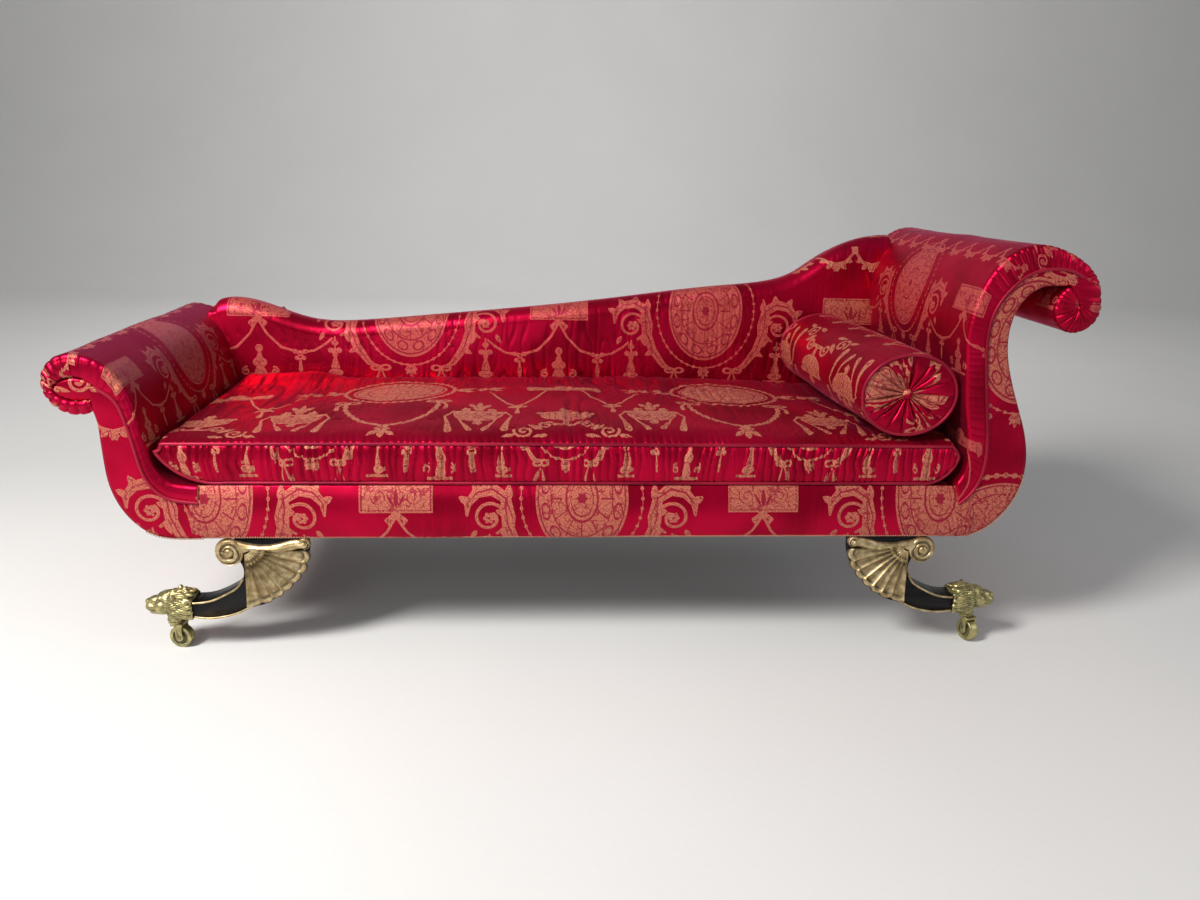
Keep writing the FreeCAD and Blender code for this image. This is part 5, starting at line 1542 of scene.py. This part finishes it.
        # gold faded toward crimson by painted light on the rail cover
        painted_light_fade_level = (lambda points: np.full(len(points), -0.28))
        add_piece("rail_cover", [self.rail()], ["front_rail_cover"], painted_light_fade_level)
        add_piece("platform_cover", [self.platform()], ["seat_platform"])
        last = len(self.stations) - 1
        shells = [self.body(), self.panel(0, -1, 2.3, 34, 7.0), self.panel(last, 1, 6.0, 14, 5.0)]
        add_piece("cushion_cover", shells, ["seat_cushion"], body="seat_cushion")
        loops = [self.piping(0, -1), self.piping(last, 1)]
        paths.piece("cushion_piping", "cord", loops, Finish.WELT, "seat_cushion", ["seat_cushion_welts"],
                    radius=0.0038, pitch=0.005, closed=True)
        line = np.array([[-800.0 + 6 * i, -343.5, 272.0] for i in range(int(1640 / 6))]) * MM
        paths.piece("rail_gimp", "beads", [line], Finish.GIMP, "frame", radius=0.0020, pitch=0.0054)


def arc3(a: Point2, b: Point2, c: Point2, count: int) -> Array:
    """Points on the circle's arc from a through b to c."""
    (ax, ay), (bx, by), (cx, cy) = a, b, c
    d = 2 * (ax * (by - cy) + bx * (cy - ay) + cx * (ay - by))
    aa, bb, cc = (x * x + y * y for x, y in (a, b, c))
    ux = (aa * (by - cy) + bb * (cy - ay) + cc * (ay - by)) / d
    uy = (aa * (cx - bx) + bb * (ax - cx) + cc * (bx - ax)) / d
    start, mid, end = (math.atan2(y - uy, x - ux) for x, y in (a, b, c))
    turn, half = (end - start) % (2 * math.pi), (mid - start) % (2 * math.pi)
    if half > turn:
        turn -= 2 * math.pi
    angle = start + np.linspace(0, turn, count)
    radius = math.hypot(ax - ux, ay - uy)
    return coords(ux + radius * np.cos(angle), uy + radius * np.sin(angle))


@dataclass
class Bolster:
    """Stuffed roll at the head end, with pleated ends drawn to a button. Sizes in millimetres."""

    axis: tuple[Point2, Point2] = ((701.5, -322.0), (662.0, 205.0))
    half_w: float = 107.0
    half_h: float = 91.0
    mid_z: float = 588.0
    hollow: float = 13.0
    end_turn: float = 0.235
    cloth_at: Point2 = (0.1, 0.0)
    seed: int = 91

    def ring(self, share: float, size: Array | float, angle: Array, along: Array | float) -> Array:
        """Points of rings at shares of the length, moved along the axis, in metres."""
        (x0, y0), (x1, y1) = self.axis
        x = x0 + (x1 - x0) * share + size * self.half_w * np.cos(angle)
        z = self.mid_z + size * self.half_h * np.sin(angle)
        return metres(x, y0 + (y1 - y0) * share + along, z)

    def roll(self) -> Shell:
        """The whole cover: pleated end, gathered rim, body, rim and end."""
        count = 216
        angle = np.linspace(0, 2 * math.pi, count + 1)[None, :-1]
        ridge = pleats(np.arange(count) * 3.0, 37.0, self.seed)
        join = smooth(np.arange(count), count - 14, count - 1)
        ridge = (ridge * (1 - join) + ridge[0] * join)[None, :]
        length = abs(self.axis[1][1] - self.axis[0][1])
        ends = np.linspace(0.06, 0.93, 26)
        rows, marks = [], []

        def end_rows(at: float, way: float, order: Array) -> None:
            """Rows of one end, in the given order of radius."""
            for r in order:
                dip = self.hollow * (1 - smooth(r, 0.12, 0.80)) * way
                bump = ridge * 7.0 * math.sin(math.pi * min(r + 0.1, 1.0)) ** 0.7
                rows.append(self.ring(at, r * 0.955, angle, dip - way * bump))
                marks.append((at * length - way * (1 - r) * 95.0, self.end_turn, ridge))
        end_rows(0.0, 1.0, ends)
        for share in np.linspace(0, 1, 168):
            edge = min(share, 1 - share)
            size = 0.955 + 0.045 * (1 - math.exp(-edge * 26)) + 0.012 * math.sin(math.pi * share)
            pucker = math.exp(-edge * length / 26.0)
            soft = noise(angle * 3.0, share * 5.0, self.seed + 3) * 0.020 * math.sin(math.pi * share) ** 0.5
            rows.append(self.ring(share, size + ridge * pucker * 0.030 + soft, angle, 0 * angle))
            marks.append((share * length, 0.0, ridge * pucker))
        end_rows(1.0, -1.0, ends[::-1])
        heights = np.concatenate([fold for _, _, fold in marks])
        along, turned = (np.array([mark[k] for mark in marks])[:, None] for k in (0, 1))
        cloth = coords(along * MM, angle / (2 * math.pi) * 0.63 + turned + heights * 0.022) + self.cloth_at
        return tube(np.concatenate(rows), cloth, heights)

    def button(self, at: float, way: float) -> Shell:
        """Covered button in the middle of an end."""
        angle = np.linspace(0, 2 * math.pi, 33)[None, :-1]
        rows = []
        for radius, out in ((0, -1.5), (4, -1.3), (8, 0.2), (10.5, 2.6), (11, 5.0), (9, 8.0), (0, 8.0)):
            flat = self.ring(at, 0.0, angle, way * (self.hollow - 6.0 + out))
            rows.append(flat + radius * metres(np.cos(angle), 0.0, np.sin(angle)))
        grid = np.concatenate(rows)
        return ball(grid, grid[..., [0, 2]])

    def dress(self, paths: PathMaker) -> None:
        """Make the bolster's pieces."""
        add_piece("bolster_cover", [self.roll()], ["bolster"], body="bolster")
        buttons = [self.button(0.0, 1.0), self.button(1.0, -1.0)]
        add_piece("bolster_end_buttons", buttons, ["bolster_buttons"], body="bolster")
        angle = np.linspace(0, 2 * math.pi, 121)[:-1]
        loops = [self.ring(at, 0.965, angle, 0.0) for at in (0.0, 1.0)]
        paths.piece("bolster_piping", "cord", loops, Finish.WELT, "bolster", ["bolster_welts"], closed=True)


# Legs and castors

@dataclass
class Corner:
    """One swept leg's carving and beads, drawn for the front right and mirrored. Sizes in millimetres."""

    name: str
    way_x: int
    way_y: int
    eye: Point2 = (726.0, 248.0)
    lobes: tuple[Point2, ...] = ((591, 222), (600, 196), (617, 171), (638, 149), (661, 130), (687, 115),
                                 (714, 107))
    fan_start: Point2 = (602.0, 240.0)
    fan_end: Point2 = (733.0, 106.0)
    volute: Point2 = (759.0, 237.5)
    curl: Point2 = (600.0, 258.0)
    leg_outer: tuple[Point2, ...] = ((739, 210), (737, 176), (748, 158), (775, 139), (812, 122), (853, 117))
    leg_under: tuple[Point2, ...] = ((853, 80), (825, 76), (790, 79), (757, 88), (722, 107))
    back_y: float = 338.3
    front_y: float = 352.0

    def placed(self, x: Array, out: Array | float, z: Array) -> Array:
        """Points of the leg's face, with their distance out of the middle plane, in metres."""
        return metres(self.way_x * x + LEG_MID_X / MM, -self.way_y * out, z)

    def raised(self, x: Array, z: Array, height: Array) -> Shell:
        """Closed shell from a grid of the leg's face, with a height over the carving's flat back."""
        return slab(self.placed(x, self.back_y + height, z), self.placed(x, self.back_y, z))

    def fan(self) -> Shell:
        """Scalloped shell of seven hollow flutes between ribs, rolled over at each tip."""
        valleys = [self.fan_start]
        for a, b in zip(self.lobes, self.lobes[1:]):
            mid = [(p + q) / 2 for p, q in zip(a, b)]
            valleys.append(tuple(m + (eye - m) * 0.05 for m, eye in zip(mid, self.eye)))
        valleys.append(self.fan_end)
        per = 18
        rim = [arc3(v0, tip, v1, per + 1)[:-1] for v0, tip, v1 in zip(valleys, self.lobes, valleys[1:])]
        edge = np.concatenate([*rim, np.array([valleys[-1]])])
        phase = (np.arange(len(edge)) % per) / per
        out = np.linspace(0.10, 1.0, 46)[:, None]
        x = self.eye[0] + (edge[None, :, 0] - self.eye[0]) * out
        z = self.eye[1] + (edge[None, :, 1] - self.eye[1]) * out
        rib = np.abs(np.cos(math.pi * phase))[None, :]
        flute = 9.0 - 7.4 * np.sin(math.pi * phase)[None, :] ** 0.7 * smooth(out, 0.12, 0.35)
        roll = 3.6 * np.exp(-((out - 0.95) / 0.035) ** 2) * (1 - 0.6 * rib)
        lip = -6.5 * smooth(out, 0.975, 1.0)
        band = 1.6 * np.exp(-((out - 0.28) / 0.03) ** 2)
        return self.raised(x, z, flute + roll + lip + band)

    def scroll(self, centre: Point2, radius: float, turns: float, start: float) -> Shell:
        """Disc with a spiral groove that winds out from a round boss."""
        angle = np.linspace(0, 2 * math.pi, 97)[None, :]
        r = np.linspace(0.02, 1.0, 34)[:, None]
        x = centre[0] + radius * r * np.cos(angle)
        z = centre[1] + radius * r * np.sin(angle)
        groove = spiral(x - centre[0], z - centre[1], radius * 0.36, radius * 1.02, turns, start,
                        radius * 0.075)
        height = 12.2 - 3.8 * smooth(groove, -0.06 * radius, 0.03 * radius) - 2.0 * r
        boss = 3.2 * np.sqrt(np.clip(1 - (r / 0.30) ** 2, 0, 1)) - 2.4 * np.exp(-((r - 0.34) / 0.05) ** 2)
        height = height + boss - 7.0 * smooth(r, 0.93, 1.0)
        return self.raised(x, z, height)

    def ribbon(self) -> Shell:
        """Rounded band that runs from the inner curl over the fan to the volute."""
        upper = Spline([(590, 262), (612, 266), (655, 257), (700, 254), (745, 264)])
        lower = Spline([(600, 246), (614, 244), (655, 236), (700, 243), (734, 232)])
        at, across = np.linspace(0, 4, 90), np.linspace(0, 1, 17)[None, :]
        a, b = upper.at_station(at), lower.at_station(at)
        x = a[:, None, 0] + (b - a)[:, None, 0] * across
        z = a[:, None, 1] + (b - a)[:, None, 1] * across
        bead_line = 1.4 * np.exp(-((across - 0.5) / 0.10) ** 2)
        return self.raised(x, z, 3.5 + 7.5 * np.sin(math.pi * across) ** 0.5 + bead_line)

    def dress(self, paths: PathMaker) -> None:
        """Make the carving and the beads that follow the foot."""
        shells = [self.fan(), self.scroll(self.volute, 31.0, 1.6, -2.2),
                  self.scroll(self.curl, 13.0, 1.0, 0.4), self.ribbon()]
        add_piece(f"{self.name}_shell_carving", shells, [f"{self.name}_leg_carving"],
                  finish=Finish.GILT, sharp_deg=75)
        lines = []
        for curve, inset in ((self.leg_outer[1:], (0.75, -2.5)), (self.leg_under, (-0.25, 2.5))):
            run = Spline([(x + inset[0], z + inset[1]) for x, z in curve]).evenly(3.0)
            run = run[run[:, 0] < 852.5]
            lines.append(self.placed(run[:, 0], 338.6, run[:, 1]))
        paths.piece(f"{self.name}_foot_beads", "cord", lines, Finish.GILT, "frame", radius=0.0023,
                    pitch=0.003)


def bevelled(name: str, node: str, finish: Finish, body: str, width: float, frame: dict[str, object]) -> None:
    """Stand a copy of a frame's node, with its edges rounded, for the node.

    Args:
        name: The new piece's name.
        node: The node that it copies and replaces.
        finish: Its finish.
        body: The body that it rides on.
        width: Width of the rounding, in metres.
    """
    mesh = frame["nodes"][node].data.copy()
    work = bmesh.new()
    work.from_mesh(mesh)
    bmesh.ops.remove_doubles(work, verts=work.verts, dist=WELD_GAP)
    bmesh.ops.dissolve_degenerate(work, edges=work.edges, dist=WELD_GAP)
    work.to_mesh(mesh)
    work.free()
    piece = in_scene(name, mesh)
    clean = piece.modifiers.new("flatten", "DECIMATE")
    clean.decimate_type, clean.angle_limit = "DISSOLVE", math.radians(1.5)
    edge = piece.modifiers.new("edge", "BEVEL")
    edge.width, edge.segments, edge.limit_method, edge.angle_limit = width, 2, "ANGLE", math.radians(35)
    edge.harden_normals = True
    made = settled(piece)
    made.shade_smooth()
    made.set_sharp_from_angle(angle=math.radians(40))
    place_piece(name, made, finish, body, [node])


@dataclass
class LionCap:
    """Cast cap of a foot, in millimetres: a collar, a curled mane and the animal's head over a socket."""

    corner: Corner
    start_x: float = 853.5
    socket_x: float = 902.0
    out: float = 314.0
    axis_z: float = 103.0
    voxel: float = 1.4

    def lumps(self) -> list[tuple[float, float, float, float, float, float]]:
        """Centres (x, side, height from the axis) and half sizes of the rounded masses."""
        masses = [(20, 0, 0, 24, 32, 32), (42, 0, 3, 22, 30, 31), (55, 0, 5, 22, 26, 27),
                  (64, 0, 20, 15, 13, 9), (80, 0, 6, 22, 15, 14), (99, 0, 6, 8.0, 9.5, 7),
                  (85, 0, -15, 16, 14, 9), (70, 0, -6, 28, 22, 19)]
        for s in (-1, 1):
            masses += [(66, s * 13, 20.5, 9, 8.0, 5.5), (74, s * 12.5, 13.0, 4.2, 4.4, 3.8),
                       (66, s * 19, -1, 14, 10, 15), (90, s * 7.5, -3.5, 15, 11.5, 11),
                       (39, s * 25, 24, 6.5, 5.5, 8.0),
                       (101, s * 4.5, 3.5, 4.2, 3.8, 3.4)]
        curls = ((10, 28.5, 13, 8.8), (22, 30.0, 12, 9.6), (35, 28.5, 12, 9.0), (47, 27.5, 11, 6.4))
        for row, (x, radius, count, size) in enumerate(curls):
            for k in range(count):
                angle = 2 * math.pi * (k + 0.5 * (row % 2)) / count + 0.14
                height = radius * math.sin(angle)
                if row == 3 and -0.25 < math.sin(angle) < 0.80:
                    continue
                masses.append((x, radius * math.cos(angle), height, size * 1.5, size * 0.62, size * 0.62))
        return masses

    def build(self) -> bpy.types.Mesh:
        """Merge the masses into one skin and cut the curls and the mouth into it."""
        work = bmesh.new()
        for x, side, height, rx, ry, rz in self.lumps():
            place = Matrix.Translation((self.start_x + x, side, self.axis_z + height))
            place = place @ Matrix.Diagonal((rx, ry, rz, 1))
            bmesh.ops.create_icosphere(work, subdivisions=3, radius=1.0, matrix=place)
        for x, z0, z1, radius in ((self.socket_x, 64.0, 82.0, 15.0), (self.socket_x, 64.0, 68.0, 16.5)):
            place = Matrix.Translation((x, 0, (z0 + z1) / 2))
            bmesh.ops.create_cone(work, cap_ends=True, segments=40, radius1=radius, radius2=radius,
                                  depth=z1 - z0, matrix=place)
        place = Matrix.Translation((self.start_x + 5.5, 0, 98.0)) @ Matrix.Diagonal((11.0, 54.0, 46.0, 1))
        bmesh.ops.create_cube(work, size=1.0, matrix=place)
        mesh = bpy.data.meshes.new("masses")
        work.to_mesh(mesh)
        work.free()
        holder = in_scene("masses", mesh)
        skin = holder.modifiers.new("skin", "REMESH")
        skin.mode, skin.voxel_size, skin.use_smooth_shade = "VOXEL", self.voxel, True
        ease = holder.modifiers.new("ease", "SMOOTH")
        ease.factor, ease.iterations = 0.5, 4
        made = settled(holder)
        points = np.zeros(len(made.vertices) * 3)
        made.vertices.foreach_get("co", points)
        x, side, z = self.chased(points.reshape(-1, 3)).T
        made.vertices.foreach_set("co", self.corner.placed(x, self.out + side, z).ravel())
        if self.corner.way_x * self.corner.way_y > 0:
            made.flip_normals()
        made.update()
        return made

    def chased(self, points: Array) -> Array:
        """Points with the hair's strands, the mouth and the muzzle's seam cut in."""
        x, side, z = points[:, 0] - self.start_x, points[:, 1], points[:, 2] - self.axis_z
        angle = np.arctan2(z + 2, side)
        radius = np.hypot(side, z + 2)
        hair = smooth(x, 14, 18) * smooth(x, 58, 48) * smooth(radius, 18, 24)
        strand = np.sin(angle * 40 + 2.6 * np.sin(x / 6.5) + 1.5 * noise(x / 9, angle * 3, 5))
        mouth = np.exp(-((z + 9.5 - 0.08 * np.abs(side)) / 1.5) ** 2) * smooth(x, 70, 78)
        seam = np.exp(-(side / 1.2) ** 2) * smooth(x, 84, 90) * smooth(z, 2.0, -1.0) * smooth(z, -12.0, -9.0)
        cut = 0.8 * hair * strand - 2.0 * mouth - 1.4 * seam
        return points + coords(0.25 * cut, cut * np.cos(angle), cut * np.sin(angle))

    def dress(self) -> None:
        """Make the cap."""
        name = self.corner.name
        place_piece(f"{name}_cast_cap", self.build(), Finish.BRASS, "frame", [f"{name}_lion_cap"])


class Trimmings:
    """Nodes of the frame that keep their own shape and take a finish."""

    BEECHEN = ("standard", "laths", "rail", "stretchers", "blocks", "uprights", "dowels")
    BY_WORD = (("bolts", Finish.STEEL), ("webbing", Finish.LINEN), ("dust_cover", Finish.CAMBRIC),
               ("carving", Finish.GILT), ("lion_cap", Finish.BRASS), ("castor", Finish.BRASS),
               ("_leg", Finish.EBONY), ("", Finish.SILK))

    def dress(self, frame: dict[str, object]) -> None:
        """Give every node that still shows its finish."""
        for name, node in frame["nodes"].items():
            finish = next(f for word, f in self.BY_WORD if word in name)
            if any(word in name for word in self.BEECHEN):
                finish = Finish.BEECH
            node.data.materials.clear()
            node.data.materials.append(finish.material)


# The room and the camera

@dataclass
class Studio:
    """Pale floor, soft light from the upper left and the photograph's viewpoint."""

    eye: Point3 = (-0.0850, -2.1078, 1.0399)
    yaw_deg: float = 3.974
    pitch_deg: float = 17.865
    roll_deg: float = -1.403
    focal_px: float = 880.17
    width_px: float = 1200.0
    sensor_mm: float = 36.0

    def camera(self) -> None:
        """Set the camera where the photograph was taken from."""
        yaw, pitch, roll = (math.radians(a) for a in (self.yaw_deg, self.pitch_deg, self.roll_deg))
        ahead = Vector((math.sin(yaw) * math.cos(pitch), math.cos(yaw) * math.cos(pitch), -math.sin(pitch)))
        right = Vector((math.cos(yaw), -math.sin(yaw), 0.0))
        down = ahead.cross(right)
        right, down = (math.cos(roll) * right + math.sin(roll) * down,
                       -math.sin(roll) * right + math.cos(roll) * down)
        data = bpy.data.cameras.new("camera")
        data.sensor_width = self.sensor_mm
        data.lens = self.focal_px / self.width_px * self.sensor_mm
        camera = in_scene("camera", data)
        turn = Matrix((right, -down, -ahead)).transposed().to_4x4()
        camera.matrix_world = Matrix.Translation(self.eye) @ turn
        bpy.context.scene.camera = camera

    def light(self, name: str, place: Point3, aim: Point3, size: Point2, watts: float,
              colour: Colour) -> None:
        """One soft rectangular light."""
        data = bpy.data.lights.new(name, "AREA")
        data.shape, data.energy, data.color = "RECTANGLE", watts, colour
        data.size, data.size_y = size
        way = Vector(aim) - Vector(place)
        turn = way.to_track_quat("-Z", "Y").to_matrix().to_4x4()
        in_scene(name, data).matrix_world = Matrix.Translation(place) @ turn

    def floor(self) -> None:
        """Pale floor with a soft grain."""
        mesh = bpy.data.meshes.new("floor")
        turn = np.linspace(0, math.pi / 2, 24)
        rise = [(5.0 + 3.0 * math.sin(a), 3.0 - 3.0 * math.cos(a)) for a in turn]
        line = [(-9.0, 0.0), *rise, (8.0, 9.0)]
        points = [(x, y, z) for y, z in line for x in (-11.0, 11.0)]
        mesh.from_pydata(points, [], [(i, i + 1, i + 3, i + 2) for i in range(0, len(points) - 2, 2)])
        mesh.shade_smooth()
        g = Graph("floor")
        place = g.place()
        tone = g.mix(g.grain(place, 1.2, 4.0), (0.66, 0.655, 0.645), (0.72, 0.715, 0.705))
        mesh.materials.append(g.finish(tone, 0.75, 0.0, g.grain(place, 60.0), 0.0004))
        in_scene("floor", mesh)

    def dress(self) -> None:
        """Make the room."""
        self.floor()
        self.camera()
        self.light("key", (-2.3, -1.9, 3.1), (0.0, 0.0, 0.45), (0.9, 1.4), 205.0, (1.0, 0.98, 0.95))
        self.light("fill", (-1.2, -3.9, 2.3), (0.1, 0.0, 0.5), (1.8, 1.4), 16.0, (1.0, 0.98, 0.97))
        self.light("side", (3.2, -1.6, 1.8), (0.2, 0.0, 0.5), (1.6, 1.6), 14.0, (0.95, 0.97, 1.0))
        self.light("rear", (0.0, 2.2, 3.4), (0.0, 7.0, 1.6), (4.0, 1.5), 120.0, (1.0, 0.99, 0.98))
        world = bpy.data.worlds.new("room")
        world.use_nodes = True
        inputs = world.node_tree.nodes["Background"].inputs
        inputs["Color"].default_value = (0.86, 0.87, 0.89, 1.0)
        inputs["Strength"].default_value = 0.30
        bpy.context.scene.world = world
        bpy.context.scene.view_settings.view_transform = "Standard"


def main() -> None:
    """Load the frame, make every piece and note the sizes."""
    logging.basicConfig(level=logging.INFO, format="%(name)s: %(message)s")
    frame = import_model()
    Studio().dress()
    paths = PathMaker()
    low, high = low_end(), high_end()
    for part in (low, high, Back((low, high)), Seat(), Bolster()):
        part.dress(paths)
    dress_rear((low, high), paths)
    for name, way_x, way_y in (("front_left", -1, 1), ("front_right", 1, 1), ("rear_left", -1, -1),
                               ("rear_right", 1, -1)):
        corner = Corner(name, way_x, way_y)
        corner.dress(paths)
        LionCap(corner).dress()
        bevelled(f"{name}_ebonised_leg", f"{name}_leg", Finish.EBONY, "frame", 0.0014, frame)
        bevelled(f"{name}_horn", f"{name}_castor_horn", Finish.BRASS, f"{name}_castor", 0.0007, frame)
        bevelled(f"{name}_wheel", f"{name}_castor_wheel", Finish.BRASS, f"{name}_wheel", 0.0006, frame)
    Trimmings().dress(frame)


if __name__ == "__main__":
    main()
